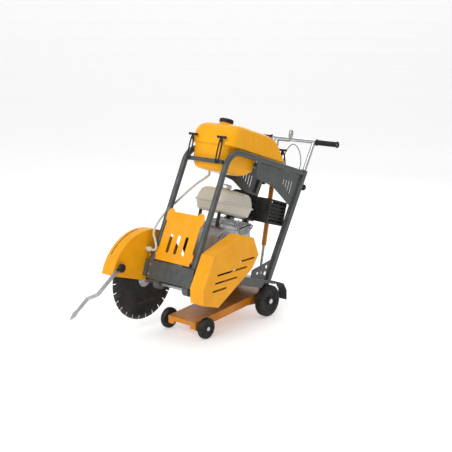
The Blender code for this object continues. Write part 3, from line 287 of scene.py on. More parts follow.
def gridMesh(name, sheets):
    # each sheet is (points[rows, columns, 3], ring closed, ends capped); all go into one mesh
    verts = []
    faces = []
    start = 0
    for points, closed, capped in sheets:
        rows, cols = points.shape[:2]
        index = start + np.arange(rows * cols).reshape(rows, cols)
        nextCol = np.roll(index, -1, 1)
        a, b, c, d = index[:-1], nextCol[:-1], nextCol[1:], index[1:]
        if not closed:
            a, b, c, d = (q[:, :-1] for q in (a, b, c, d))
        quads = np.stack([a, b, c, d], -1).reshape(-1, 4)
        faces += quads.tolist()
        if capped:
            faces.append(index[0][::-1].tolist())
            faces.append(index[-1].tolist())
        verts.append(points.reshape(-1, 3))
        start += rows * cols
    mesh = bpy.data.meshes.new(name)
    mesh.from_pydata(np.concatenate(verts).tolist(), [], faces)
    bm = bmesh.new()
    bm.from_mesh(mesh)
    bmesh.ops.remove_doubles(bm, verts=bm.verts, dist=1e-6)
    bmesh.ops.recalc_face_normals(bm, faces=bm.faces)
    bm.to_mesh(mesh)
    bm.free()
    return mesh


def basis(direction):
    # two unit vectors square to a direction
    d = np.asarray(direction, float)
    d = d / np.linalg.norm(d)
    side = np.cross(d, (0, 0, 1.0) if abs(d[2]) < 0.9 else (1.0, 0, 0))
    side /= np.linalg.norm(side)
    return d, side, np.cross(d, side)


def lathe(centre, direction, profile, count=48, wave=None):
    # profile rows are (distance along, radius); wave(angle, row) scales the radius
    d, u, v = basis(direction)
    profile = np.asarray(profile, float)
    ang = np.linspace(0, 2 * np.pi, count, endpoint=False)
    radius = np.repeat(profile[:, 1:2], count, 1)
    if wave is not None:
        radius = radius * wave(ang[None, :], profile[:, :1])
    ring = np.cos(ang)[:, None] * u + np.sin(ang)[:, None] * v
    return np.asarray(centre) + profile[:, :1, None] * d + radius[..., None] * ring[None]


def smoothPath(knots, steps=8):
    # Catmull-Rom curve through the knots
    k = np.asarray(knots, float)
    k = np.vstack([2 * k[0] - k[1], k, 2 * k[-1] - k[-2]])
    t = np.linspace(0, 1, steps, endpoint=False)[:, None]
    out = []
    for p, q, r, s in zip(k[:-3], k[1:-2], k[2:-1], k[3:]):
        out.append(0.5 * (2 * q + (r - p) * t + (2 * p - 5 * q + 4 * r - s) * t ** 2 + (3 * q - p - 3 * r + s) * t ** 3))
    return np.vstack(out + [k[-2:-1]])


def tube(path, radius, sides=14, closed=False):
    # circles carried along the path, turned as little as possible
    path = np.asarray(path, float)
    if closed:
        tangents = np.roll(path, -1, 0) - np.roll(path, 1, 0)
    else:
        tangents = np.gradient(path, axis=0)
    tangents /= np.linalg.norm(tangents, axis=1)[:, None]
    side = basis(tangents[0])[1]
    sidesAll = []
    for t in tangents:
        side = side - t * side.dot(t)
        side = side / np.linalg.norm(side)
        sidesAll.append(side)
    u = np.array(sidesAll)
    v = np.cross(tangents, u)
    ang = np.linspace(0, 2 * np.pi, sides, endpoint=False)
    r = np.broadcast_to(np.asarray(radius, float), (len(path),))[:, None, None]
    pts = path[:, None] + r * (np.cos(ang)[None, :, None] * u[:, None] + np.sin(ang)[None, :, None] * v[:, None])
    if closed:
        pts = np.vstack([pts, pts[:1]])
    return pts


def hexBolt(centre, direction, size):
    # six-sided head with a rounded top on a round washer
    d, u, v = basis(direction)
    ang = np.linspace(0, 2 * np.pi, 24, endpoint=False)
    flat = np.cos(np.pi / 6) / np.cos((ang + np.pi / 6) % (np.pi / 3) - np.pi / 6)
    ring = np.cos(ang)[:, None] * u + np.sin(ang)[:, None] * v
    centre = np.asarray(centre, float)
    rows = []
    for along, r, six in ((0, 1.25, 0), (0.18, 1.25, 0), (0.2, 1.0, 1), (0.75, 1.0, 1), (0.85, 0.88, 0), (0.87, 0.3, 0)):
        k = np.where(six, flat * 0.95, 1.0)
        rows.append(centre + d * along * size + ring * (r * size * k)[:, None])
    return np.stack(rows)


def refined(node, bevel=0.0012, segments=2, sharp=35, mat=None):
    # the CAD solid with its coplanar facets joined and its edges rounded
    source = frame["nodes"][node]
    bm = bmesh.new()
    bm.from_mesh(source.data)
    bmesh.ops.remove_doubles(bm, verts=bm.verts, dist=2e-6)
    bmesh.ops.dissolve_limit(bm, angle_limit=math.radians(0.6), verts=bm.verts, edges=bm.edges)
    mesh = bpy.data.meshes.new(node + "Fine")
    bm.to_mesh(mesh)
    bm.free()
    slot = slots[node]
    obj = putObject(node + "Fine", mesh, bodyOf[node], mat or finishes[slot], (node,), sharp)
    mod = obj.modifiers.new("roundEdges", "BEVEL")
    mod.width = bevel
    mod.segments = segments
    mod.limit_method = "ANGLE"
    mod.angle_limit = math.radians(38)
    mod.harden_normals = True
    return obj


# sheet, tube and cast pieces keep their CAD shape with rounded edges; widths in metres
roundings = {
    0.0008: ["side_panel_left", "side_panel_right", "gusset_left", "gusset_right", "fender_left", "fender_right",
             "front_panel", "pointer_arm", "muffler_guard", "tank_bar_front", "tank_bar_rear", "hose_coupling",
             "flange_nut", "spindle_rod", "engine_pulley", "blade_shaft", "v_belt"],
    0.0018: ["upright_left", "upright_right", "carriage_plate", "base_frame", "front_beam", "guard_bracket",
             "bearing_left", "bearing_right", "engine_cylinder", "spindle_tube", "depth_crank",
             "front_axle", "rear_axle", "handlebar", "recoil_handle", "pointer_knob"],
    0.0030: ["belt_guard", "blade_guard", "engine_crankcase", "air_filter"],
}
for width, names in roundings.items():
    for node in names:
        refined(node, width)
print("frame and guards rounded")


def piece(name, sheets, body, mat, replaces=(), sharp=35):
    return putObject(name, gridMesh(name, sheets), body, mat, replaces, sharp)


# water tank: rounded rings stacked in height, with ribs on the flanks
tank = dict(ribs=5, ribStart=-0.400, ribEnd=-0.125, ribDepth=0.0045, seam=0.0018, rows=150, around=400)
frameTop, tubeRadius, halfTrack = 0.757, 0.0165, 0.145
ledge = frameTop + tubeRadius + 0.003
belly = halfTrack - tubeRadius - 0.014
wide = halfTrack + 0.003
tankLevels = np.array([  # height, front, back, half width, corner
    (ledge - 0.1350, -0.545, -0.400, belly - 0.045, 0.030), (ledge - 0.1325, -0.556, -0.372, belly - 0.030, 0.034),
    (ledge - 0.1240, -0.571, -0.342, belly - 0.016, 0.034), (ledge - 0.0920, -0.581, -0.302, belly - 0.002, 0.032),
    (ledge - 0.0100, -0.585, -0.297, belly, 0.032), (ledge - 0.0020, -0.586, -0.290, belly + 0.001, 0.032),
    (ledge + 0.0005, -0.590, -0.074, wide - 0.006, 0.046), (ledge + 0.0060, -0.594, -0.067, wide, 0.050),
    (ledge + 0.0130, -0.594, -0.067, wide, 0.052), (ledge + 0.0330, -0.591, -0.086, wide - 0.001, 0.054),
    (ledge + 0.0750, -0.580, -0.128, wide - 0.003, 0.057), (ledge + 0.1000, -0.566, -0.156, wide - 0.008, 0.058),
    (ledge + 0.1150, -0.545, -0.185, wide - 0.017, 0.056), (ledge + 0.1235, -0.520, -0.220, wide - 0.036, 0.052),
    (ledge + 0.1265, -0.470, -0.280, wide - 0.070, 0.040), (ledge + 0.1275, -0.400, -0.350, wide - 0.115, 0.015)])


def stackedRings(levels, rows, around, shift=0.0):
    # rounded rectangles whose sizes follow a smooth line through the levels
    heights = np.concatenate([[0], np.cumsum(np.abs(np.diff(levels, axis=0))[:, :4].sum(1) ** 0.8)])
    t = np.linspace(0, heights[-1], rows)
    s = np.stack([np.interp(t, heights, levels[:, k]) for k in range(5)], 1)
    z, y0, y1, half, corner = (s[:, k, None] for k in range(5))
    u = np.linspace(0, 1, around, endpoint=False)[None]
    quarter = np.floor(u * 4).astype(int) % 4
    f = u * 4 - np.floor(u * 4)
    runIn = np.where(quarter % 2 == 0, 0.50, 0.14)  # the flanks get most of the points, for their ribs
    runOut = np.where(quarter % 2 == 0, 0.14, 0.50)
    arc = np.clip((f - runIn) / (1 - runIn - runOut), 0, 1)
    ang = (quarter + arc) * np.pi / 2
    sx = np.where((quarter == 0) | (quarter == 3), 1.0, -1.0)
    sy = np.where(quarter < 2, 1.0, -1.0)
    cx = sx * (half - corner)
    cy = np.where(sy > 0, y1 - corner, y0 + corner)
    x = cx + corner * np.cos(ang)
    y = cy + corner * np.sin(ang)
    # the straight runs slide from each corner to the middle of its side
    pre = np.clip((runIn - f) / runIn, 0, 1)
    post = np.clip((f - 1 + runOut) / runOut, 0, 1)
    midY = (y0 + y1) / 2
    alongY = (quarter % 2 == 0)
    x = np.where(alongY, x * (1 - post), x * (1 - pre))
    y = np.where(alongY, y * (1 - pre) + midY * pre, y * (1 - post) + midY * post)
    return np.stack([x + shift, y, z + 0 * x], -1)


def tankSurface():
    p = stackedRings(tankLevels, tank["rows"], tank["around"])
    y, z = p[..., 1], p[..., 2] - ledge
    # ribs: raised pads with a flat crest, fading at the top and bottom of the flank
    phase = (y - tank["ribStart"]) / (tank["ribEnd"] - tank["ribStart"]) * tank["ribs"]
    inside = (phase > 0) & (phase < tank["ribs"])
    crest = np.clip(1.6 * np.sin(np.pi * (phase % 1)) ** 0.6 - 0.55, 0, 1) * inside
    fade = np.clip((z - 0.012) / 0.018, 0, 1) * np.clip((0.118 - z) / 0.02, 0, 1)
    flank = np.clip((np.abs(p[..., 0]) - wide * 0.80) / (wide * 0.12), 0, 1)
    groove = (1 - crest) * inside * fade * flank
    p[..., 0] -= np.sign(p[..., 0]) * tank["ribDepth"] * groove
    # a line pressed across the front
    face = np.clip(1 - np.abs(z - 0.052) / 0.003, 0, 1) * (y < -0.50)
    p[..., 1] += face * tank["seam"]
    return p


neckBack, neckUp = -0.483, ledge + 0.128
up = toWorld([0, 0, 1.0]) - toWorld([0, 0, 0.0])
tankTop = toWorld([0, neckBack, neckUp])
neck = lathe(tankTop, up, [(-0.004, 0.036), (0.001, 0.036), (0.003, 0.0325), (0.015, 0.032)], 48)
piece("waterTankBody", [(toWorld(tankSurface()), True, True), (neck, True, True)], "main_frame",
      finishes["tank_plastic"], ("water_tank",), 50)


def knurl(depth, teeth, start, end):
    # scallops round the skirt between two distances
    return lambda a, d: 1 - depth * (0.5 - 0.5 * np.cos(teeth * a)) * ((d > start) & (d < end))


capBase = toWorld([0, neckBack, neckUp + 0.015])
piece("waterTankCap", [(lathe(capBase, up, [(0.0006, 0.001), (0.0006, 0.0326), (-0.009, 0.0327), (-0.009, 0.0375),
                                            (-0.0075, 0.0388), (0.004, 0.0388), (0.0075, 0.0382), (0.0105, 0.036),
                                            (0.0125, 0.032), (0.0132, 0.022), (0.0118, 0.0205), (0.0118, 0.012),
                                            (0.0140, 0.0105), (0.0143, 0.001)], 144,
                                knurl(0.035, 24, -0.008, 0.006)), True, True)],
      "tank_cap", finishes["black_plastic"], ("tank_cap",), 30)

# fuel tank and its cap
fuelX, fuelY = -0.022, -0.345
fuelLevels = np.array([
    (0.428, -0.455, -0.215, 0.078, 0.034), (0.431, -0.463, -0.207, 0.086, 0.036), (0.440, -0.470, -0.200, 0.095, 0.036),
    (0.476, -0.477, -0.193, 0.103, 0.036), (0.4810, -0.479, -0.191, 0.105, 0.037), (0.4825, -0.485, -0.185, 0.1112, 0.040),
    (0.4845, -0.486, -0.184, 0.112, 0.041), (0.4885, -0.486, -0.184, 0.112, 0.041), (0.4905, -0.485, -0.185, 0.1112, 0.040),
    (0.4920, -0.479, -0.191, 0.105, 0.038), (0.520, -0.473, -0.197, 0.100, 0.038), (0.545, -0.466, -0.204, 0.093, 0.040),
    (0.557, -0.455, -0.215, 0.082, 0.040), (0.5625, -0.440, -0.230, 0.068, 0.036), (0.5645, -0.420, -0.250, 0.048, 0.028),
    (0.5650, -0.370, -0.320, 0.010, 0.006)])
fuelTop = toWorld([fuelX, fuelY, 0.579])
fuelNeck = lathe(toWorld([fuelX, fuelY, 0.560]), up, [(0.0, 0.026), (0.006, 0.026), (0.008, 0.0222), (0.019, 0.022)], 40)
piece("fuelTankBody", [(toWorld(stackedRings(fuelLevels, 110, 200, fuelX)), True, True), (fuelNeck, True, True)],
      "main_frame", finishes["cream_paint"], ("fuel_tank",), 50)
piece("fuelTankCap", [(lathe(fuelTop, up, [(0.0006, 0.001), (0.0006, 0.0226), (-0.009, 0.0227), (-0.009, 0.0290),
                                           (-0.007, 0.0298), (0.006, 0.0298), (0.0095, 0.0280), (0.0115, 0.024),
                                           (0.0122, 0.015), (0.0136, 0.0135), (0.0140, 0.001)], 120,
                             knurl(0.05, 20, -0.008, 0.007)), True, True)],
      "fuel_cap", finishes["zinc"], ("fuel_cap",), 30)
print("tanks made")

# wheels
treads = dict(blocks=36, depth=0.0016)


def tyreWave(a, d):
    # shallow cross grooves over the tread
    return 1 - treads["depth"] / 0.09 * (np.sin(treads["blocks"] * a) > 0.86) * ((d > 0.008) & (d < 0.044))


for side, label in ((1, "left"), (-1, "right")):
    lo, hi = (np.array(c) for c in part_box("rear_tyre_" + label))
    mid = (lo + hi) / 2
    start = np.array([side * 0.129, mid[1], mid[2]])
    axis = (side, 0, 0)
    rim = [(0.006, 0.0602), (0.001, 0.066), (0.0, 0.069), (0.0005, 0.078), (0.004, 0.0845), (0.009, 0.0885),
           (0.012, 0.0898), (0.0155, 0.09), (0.0165, 0.0885), (0.019, 0.0885), (0.020, 0.09), (0.0250, 0.09),
           (0.0255, 0.0885), (0.0285, 0.0885), (0.029, 0.09), (0.033, 0.09), (0.034, 0.0885), (0.0365, 0.0885),
           (0.0375, 0.09), (0.041, 0.0898), (0.044, 0.0885), (0.048, 0.0845), (0.0515, 0.078), (0.0518, 0.0752),
           (0.0510, 0.0742), (0.0518, 0.0730), (0.052, 0.069), (0.051, 0.066), (0.046, 0.0602), (0.006, 0.0602)]
    piece("rearTyreTread_" + label, [(lathe(start, axis, rim, 288, tyreWave), True, False)], "rear_wheel_" + label,
          finishes["tyre_rubber"], ("rear_tyre_" + label,), 30)
    disc = [(0.0, 0.0106), (0.0, 0.022), (0.011, 0.024), (0.012, 0.052), (0.007, 0.0594), (0.045, 0.0594),
            (0.0445, 0.0565), (0.0410, 0.0540), (0.0375, 0.0510), (0.0370, 0.034), (0.0380, 0.0325), (0.0395, 0.030),
            (0.0400, 0.0245), (0.0505, 0.0225), (0.052, 0.0210), (0.052, 0.0106), (0.0, 0.0106)]
    piece("rearHubDisc_" + label, [(lathe(start, axis, disc, 96), True, False)] +
          [(hexBolt(start + np.array([side * 0.0372, 0.041 * math.cos(a), 0.041 * math.sin(a)]), axis, 0.0042), True, True)
           for a in np.arange(5) * 2 * math.pi / 5 + 0.3],
          "rear_wheel_" + label, finishes["black_plastic"], ("rear_hub_" + label,), 30)
    lo, hi = (np.array(c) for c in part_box("front_wheel_" + label))
    mid = (lo + hi) / 2
    start = np.array([side * 0.118, mid[1], mid[2]])
    small = [(0.0, 0.0086), (0.0, 0.030), (0.002, 0.034), (0.0005, 0.040), (0.0005, 0.049), (0.0025, 0.0535), (0.006, 0.0562),
             (0.0105, 0.057), (0.0225, 0.057), (0.027, 0.0562), (0.0305, 0.0535), (0.0325, 0.049), (0.0328, 0.0415),
             (0.0318, 0.0400), (0.0300, 0.0385), (0.0285, 0.036), (0.0285, 0.022), (0.0300, 0.019), (0.033, 0.0165),
             (0.033, 0.0086), (0.0, 0.0086)]
    piece("frontWheelSolid_" + label, [(lathe(start, axis, small, 96), True, False)], "front_wheel_" + label,
          finishes["tyre_rubber"], ("front_wheel_" + label,), 30)
print("wheels made")

# saw blade: a slotted disc with hard segments over its rim
bladeY, bladeX, bladeR, segmentCount = -0.636, -0.225, 0.225, 26
blade = dict(thick=0.0036, bore=0.0128, slotBottom=0.200, slotHalf=0.0125)


def bladeSurface():
    # an outline radius that drops into a slot at each step, swept across the thickness
    step = 2 * np.pi / segmentCount
    g, r0, r1 = blade["slotHalf"], blade["slotBottom"], bladeR - 0.0006
    cell = np.array([(0.0, r0)] + [(g, r0 + 0.003), (g, r1)] + [(a, r1) for a in np.linspace(g, step - g, 7)[1:-1]] +
                    [(step - g, r1), (step - g, r0 + 0.003)])
    ang = (np.arange(segmentCount)[:, None] * step + cell[None, :, 0]).ravel()
    edge = np.tile(cell[:, 1], segmentCount)
    rows = []
    for x, r in ((-0.5, blade["bore"]), (-0.5, 0.10), (-0.5, 0.192), (-0.5, None), (0.5, None), (0.5, 0.192), (0.5, 0.10),
                 (0.5, blade["bore"]), (-0.5, blade["bore"])):
        radius = edge if r is None else np.full_like(edge, r)
        rows.append(np.stack([bladeX + x * blade["thick"] + 0 * ang, bladeY + radius * np.cos(ang), radius * np.sin(ang)], -1))
    return toWorld(np.stack(rows))


piece("sawBladeDisc", [(bladeSurface(), True, False)], "blade_arbor", finishes["blade_steel"],
      ("saw_blade",), 30)


def segmentBand(k):
    # a curved block that sits over the rim between two slots
    step = 2 * np.pi / segmentCount
    ang = np.linspace(k * step + 0.0140, (k + 1) * step - 0.0140, 9)
    rows = []
    for x, r in ((-0.0022, 0.2105), (0.0022, 0.2105), (0.0022, 0.2249), (-0.0022, 0.2249)):
        rows.append(np.stack([np.full_like(ang, x), r * np.cos(ang), r * np.sin(ang)], -1))
    ring = np.stack(rows, 1)
    return toWorld(ring + np.array([bladeX, bladeY, 0]))


piece("bladeSegments", [(segmentBand(k), True, True) for k in range(segmentCount)], "blade_arbor", diamondRim,
      sharp=30)

# grips, knobs and straps
for side, label in ((1, "left"), (-1, "right")):
    lo, hi = (np.array(c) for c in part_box("grip_" + label))
    mid = (lo + hi) / 2
    start = np.array([lo[0] if side > 0 else hi[0], mid[1], mid[2]])
    grip = [(0.0, 0.0129), (0.0, 0.0190), (0.001, 0.0195), (0.004, 0.0195), (0.006, 0.0175), (0.009, 0.0155)]
    for k in range(18):
        d = 0.013 + 0.0066 * k
        grip += [(d, 0.0155), (d + 0.0022, 0.0155), (d + 0.003, 0.0147), (d + 0.0045, 0.0147), (d + 0.0053, 0.0155)]
    grip += [(0.136, 0.0158), (0.140, 0.0185), (0.1455, 0.0185), (0.1475, 0.0165), (0.148, 0.0150), (0.148, 0.0129), (0.0, 0.0129)]
    piece("gripRibbed_" + label, [(lathe(start, (side, 0, 0), grip, 64), True, False)], "handle",
          finishes["black_rubber"], ("grip_" + label,), 30)

uprightLean = math.atan2(0.145, 0.6595)
for side, label in ((1, "left"), (-1, "right")):
    kz = frameTop - 0.070
    ky = -0.025 + (kz - 0.1155) * math.tan(uprightLean)
    centre = toWorld([side * 0.145, ky, kz])
    out = toWorld([0, math.cos(uprightLean), -math.sin(uprightLean)]) - toWorld([0, 0, 0])
    lobes = lambda a, d: 1 - 0.09 * (0.5 - 0.5 * np.cos(6 * a)) * (d > 0.033)
    piece("clampKnobLobed_" + label, [(lathe(centre, out, [
        (0.0131, 0.001), (0.0131, 0.0038), (0.0205, 0.0039), (0.0206, 0.0098), (0.0305, 0.0100), (0.0325, 0.0125),
        (0.0335, 0.0165), (0.0350, 0.0185), (0.0380, 0.0190), (0.0440, 0.0190), (0.0475, 0.0180), (0.0492, 0.0150),
        (0.0495, 0.001)], 72, lobes), True, True)], "clamp_knob_" + label, finishes["black_plastic"],
        ("clamp_knob_" + label,), 30)

strapX = 0.100


def strapSheets(x, footY, footZ, lean, tall):
    # a T-shaped pull on a long rubber loop that hooks round the bar
    u = np.array([0, math.sin(lean), math.cos(lean)])
    v = np.array([0, math.cos(lean), -math.sin(lean)])
    o = np.array([x, footY, footZ])
    a = np.linspace(0, 2 * np.pi, 56, endpoint=False)
    halfLong = (tall - 0.020) / 2
    loopX = 0.0105 * np.sign(np.cos(a)) * np.abs(np.cos(a)) ** 0.5
    loopZ = halfLong * np.sign(np.sin(a)) * np.abs(np.sin(a)) ** 0.9
    loop = o + loopX[:, None] * np.array([1, 0, 0]) + (loopZ + halfLong + 0.004)[:, None] * u + 0.003 * v
    bar = np.linspace(-0.029, 0.029, 15)
    barPath = o + bar[:, None] * np.array([1, 0, 0]) + (tall - 0.008) * u + 0.003 * v
    thick = 0.0062 + 0.0012 * np.exp(-((np.abs(bar) - 0.025) / 0.004) ** 2)
    stem = o + np.linspace(tall - 0.036, tall - 0.006, 8)[:, None] * u + 0.003 * v
    return [(toWorld(tube(loop, 0.0040, 12, True)), True, False), (toWorld(tube(barPath, thick, 14)), True, True),
            (toWorld(tube(stem, np.linspace(0.0035, 0.0075, 8), 12)), True, True)]


for side, label in ((1, "left"), (-1, "right")):
    piece("strapLoop_front_" + label, strapSheets(side * strapX, -0.619, 0.672, 0.02, 0.150), "main_frame",
          finishes["black_rubber"], ("strap_front_" + label,), 40)
    piece("strapLoop_rear_" + label, strapSheets(side * strapX, -0.0225, 0.761, -0.50, 0.112), "main_frame",
          finishes["black_rubber"], ("strap_rear_" + label,), 40)
print("grips and straps made")

# recoil starter: dished cover with vent slots round a centre boss
crank = (-0.395, 0.245)
recoilStart = toWorld([-0.0995, *crank])
left = np.array([-1.0, 0, 0])
vents = dict(count=15, depth=0.055)


def ventWave(a, d):
    # the radius dips where a cosine round the cover is high, on the ring of vents only
    return 1 - vents["depth"] * (np.cos(vents["count"] * a) > 0.35) * ((d > 0.0405) & (d < 0.0478))


piece("recoilCover", [(lathe(recoilStart, left, [
    (0.0, 0.001), (0.0, 0.098), (0.0265, 0.098), (0.0285, 0.0972), (0.0385, 0.0870), (0.0405, 0.0845), (0.0440, 0.0690),
    (0.0475, 0.0540), (0.0482, 0.0500), (0.0484, 0.0440), (0.0470, 0.0425), (0.0470, 0.0290), (0.0488, 0.0270),
    (0.0500, 0.0230), (0.0504, 0.0160), (0.0504, 0.001)], 240, ventWave), True, True)] +
      [(hexBolt(recoilStart + np.array([-0.028, 0.0900 * math.cos(a), 0.0900 * math.sin(a)]), left, 0.0045), True, True)
       for a in np.arange(4) * math.pi / 2 + 0.5],
      "main_frame", finishes["black_plastic"], ("recoil_starter",), 30)

# clear water hose
guardIn = -0.186
hoseKnots = [(guardIn + 0.0412, -0.700, 0.165), (guardIn + 0.056, -0.700, 0.165), (guardIn + 0.066, -0.700, 0.183),
             (guardIn + 0.050, -0.699, 0.215), (-0.160, -0.698, 0.255), (-0.1735, -0.668, 0.310),
             (-0.1725, -0.620, 0.380), (-0.150, -0.572, 0.450), (-0.112, -0.550, 0.510), (-0.080, -0.520, 0.565),
             (-0.060, -0.470, 0.616), (-0.060, -0.470, 0.640)]
hoseLine = toWorld(smoothPath(np.array(hoseKnots), 24))
piece("waterHoseSmooth", [(tube(hoseLine, 0.006, 20), True, True)], "main_frame", finishes["clear_hose"],
      ("water_hose",), 50)
hoseLength = float(np.linalg.norm(np.diff(hoseLine, axis=0), axis=1).sum())
print("hose length", round(hoseLength, 3))

# throttle cable: a thin loop behind the tank
cableKnots = np.array([(0.105, -0.020, 0.745), (0.110, -0.052, 0.800), (0.112, -0.045, 0.860), (0.108, 0.010, 0.905),
                       (0.118, 0.060, 0.885), (0.132, 0.086, 0.820), (0.134, 0.080, 0.740)])
piece("throttleCable", [(tube(toWorld(smoothPath(cableKnots, 12)), 0.0022, 10), True, True)], "main_frame",
      finishes["black_rubber"])
print("hose and cables made")

# bolts on the blade guard, in an arc round the shaft
bolts = dict(guard=0.0058, arc=0.085, angles=(0.55, 1.23, 1.91, 2.59))
boltSheets = []
for y, z in ((bladeY + bolts["arc"] * math.cos(a), bolts["arc"] * math.sin(a)) for a in bolts["angles"]):
    boltSheets.append((hexBolt(toWorld([-0.2655, y, z]), left, bolts["guard"]), True, True))
piece("guardBolts", boltSheets, "main_frame", brightBolt, sharp=30)
print("bolts made")

# side tubes: one round tube each, bent over the front corner
sideTube = dict(radius=0.0165, bendRadius=0.105, low=(-0.6705, 0.1125), top=0.757)


def bentLine(a, corner, b, radius, steps=18):
    # straight, a tangent arc at the corner, straight
    a, corner, b = (np.asarray(q, float) for q in (a, corner, b))
    u, v = (a - corner) / np.linalg.norm(a - corner), (b - corner) / np.linalg.norm(b - corner)
    half = math.acos(float(u.dot(v))) / 2
    reach = radius / math.tan(half)
    centre = corner + (u + v) / np.linalg.norm(u + v) * radius / math.sin(half)
    p0, p1 = corner + u * reach, corner + v * reach
    x = (p0 - centre) / radius
    y = (p1 - centre) - x * (p1 - centre).dot(x)
    y /= np.linalg.norm(y)
    angles = np.linspace(0, math.pi - 2 * half, steps)[:, None]
    arc = centre + radius * (np.cos(angles) * x + np.sin(angles) * y)
    lead = a + (p0 - a) * np.linspace(0, 1, 8)[:, None]
    tail = p1 + (b - p1) * np.linspace(0, 1, 8)[:, None]
    return np.vstack([lead[:-1], arc, tail[1:]])


for side, label in ((1, "left"), (-1, "right")):
    x = side * halfTrack
    y0, z0 = sideTube["low"]
    cornerY = y0 + 0.094
    backY = -0.025 + (sideTube["top"] - 0.1155) * math.tan(uprightLean) - 0.015 / math.cos(uprightLean) - 0.006
    line = bentLine((x, y0, z0 + 0.0003), (x, cornerY, sideTube["top"]), (x, backY, sideTube["top"]), sideTube["bendRadius"])
    piece("sideTubeBent_" + label, [(tube(toWorld(line), sideTube["radius"], 32), True, True)], "main_frame",
          finishes["grey_paint"], ("side_tube_" + label,), 40)
print("side tubes made")

# engine: cover, shroud, fins, carburettor, rods, leads and exhaust on the plain blocks
engine = dict(fins=9, finStep=0.0150, finBack=-0.300, finThick=0.0035)


def slab(x0, x1, y0, y1, z0, z1, corner=0.006, around=48):
    # a rounded block: two rings of a rounded rectangle with a small step at each end
    ease, half = 0.002, (x1 - x0) / 2
    levels = np.array([(z0, y0 + ease, y1 - ease, half - ease, corner), (z0 + ease, y0, y1, half, corner),
                       (z1 - ease, y0, y1, half, corner), (z1, y0 + ease, y1 - ease, half - ease, corner)])
    return toWorld(stackedRings(levels, 12, around, (x0 + x1) / 2))


# side cover: ribs between a rim and the output boss, and bolts round the rim
cover = [toWorld(tube([(0.1095, crank[0] + 0.032 * math.cos(a), crank[1] + 0.032 * math.sin(a)),
                       (0.1090, crank[0] + 0.080 * math.cos(a), crank[1] + 0.080 * math.sin(a))], 0.0035, 10))
         for a in np.arange(10) * math.pi / 5]
rimAngles = np.linspace(0, 2 * np.pi, 72, endpoint=False)
rimPath = np.stack([0 * rimAngles + 0.1085, crank[0] + 0.086 * np.cos(rimAngles), crank[1] + 0.086 * np.sin(rimAngles)], -1)
piece("sideCoverRibs", [(r, True, True) for r in cover] + [(toWorld(tube(rimPath, 0.005, 12, True)), True, False)],
      "main_frame", finishes["cast_alloy"])
piece("sideCoverBolts", [(hexBolt(toWorld([0.1125, crank[0] + 0.0795 * math.cos(a), crank[1] + 0.0795 * math.sin(a)]),
                                  (1, 0, 0), 0.0045), True, True) for a in np.arange(7) * 2 * math.pi / 7 + 0.2],
      "main_frame", brightBolt, sharp=30)
# cooling shroud over the top of the block, with ribs pressed in
shroud = [slab(-0.094, 0.098, -0.452, -0.318, 0.350, 0.372, 0.02), slab(-0.060, 0.060, -0.410, -0.300, 0.370, 0.396, 0.02)]
piece("coolingShroud", [(q, True, True) for q in shroud], "main_frame", finishes["cast_alloy"], sharp=40)
fins = [slab(-0.072, 0.072, y, y + engine["finThick"], 0.312 + 0.005 * k, 0.408, 0.0017, 24)
        for k, y in enumerate(engine["finBack"] + engine["finStep"] * np.arange(engine["fins"]))]
piece("cylinderFins", [(q, True, True) for q in fins], "main_frame", finishes["cast_alloy"], sharp=40)
brackets = [slab(x, x + 0.022, y, y + 0.005, 0.352, 0.432, 0.002, 24) for x in (-0.085, 0.048) for y in (-0.462, -0.222)]
piece("tankBrackets", [(q, True, True) for q in brackets], "main_frame", finishes["black_paint"])
carb = [slab(-0.112, -0.066, -0.255, -0.190, 0.372, 0.416, 0.008), slab(-0.126, -0.072, -0.192, -0.150, 0.378, 0.424, 0.01)]
piece("carburettorBody", [(q, True, True) for q in carb], "main_frame", finishes["cast_alloy"], sharp=40)
rods = [[(0.062, -0.452, 0.376), (0.066, -0.420, 0.388), (0.064, -0.330, 0.392), (0.030, -0.240, 0.414)],
        [(0.078, -0.448, 0.374), (0.082, -0.400, 0.382), (0.080, -0.330, 0.384), (0.076, -0.290, 0.372)],
        [(-0.030, -0.455, 0.360), (0.010, -0.462, 0.384), (0.050, -0.455, 0.398), (0.068, -0.420, 0.404)]]
piece("governorRods", [(toWorld(tube(smoothPath(np.array(r), 8), 0.0020, 8)), True, True) for r in rods], "main_frame",
      finishes["zinc"])
leads = [[(0.020, -0.152, 0.352), (0.030, -0.128, 0.372), (0.060, -0.150, 0.398), (0.088, -0.220, 0.396),
          (0.094, -0.300, 0.366)],
         [(0.100, -0.430, 0.340), (0.104, -0.452, 0.310), (0.104, -0.470, 0.250), (0.096, -0.488, 0.200)],
         [(-0.040, -0.250, 0.430), (-0.052, -0.225, 0.414), (-0.070, -0.215, 0.404)]]
piece("leadsAndPipes", [(toWorld(tube(smoothPath(np.array(r), 8), 0.0032, 10)), True, True) for r in leads], "main_frame",
      finishes["black_rubber"])
plugDirection = toWorld([0, math.cos(0.436), math.sin(0.436)]) - toWorld([0, 0, 0.0])
piece("sparkPlugCap", [(lathe(toWorld([0.020, -0.178, 0.346]), plugDirection, [
    (0, 0.007), (0.010, 0.007), (0.011, 0.009), (0.030, 0.009), (0.034, 0.007), (0.035, 0.001)], 20), True, True)],
    "main_frame", finishes["black_rubber"], sharp=30)
front = toWorld([0, -1.0, 0]) - toWorld([0, 0, 0.0])
piece("oilFiller", [(lathe(toWorld([0.055, -0.488, 0.170]), front, [
    (0, 0.013), (0.008, 0.013), (0.009, 0.017), (0.018, 0.017), (0.020, 0.014), (0.020, 0.001)], 36,
    knurl(0.08, 12, 0.0085, 0.019)), True, True)], "main_frame", finishes["black_plastic"], sharp=30)
drum = lathe(toWorld([0.026, -0.036, 0.499]), (1, 0, 0), [
    (0, 0.001), (0, 0.044), (0.004, 0.052), (0.044, 0.054), (0.046, 0.0555), (0.048, 0.054), (0.086, 0.052),
    (0.092, 0.044), (0.092, 0.001)], 64)
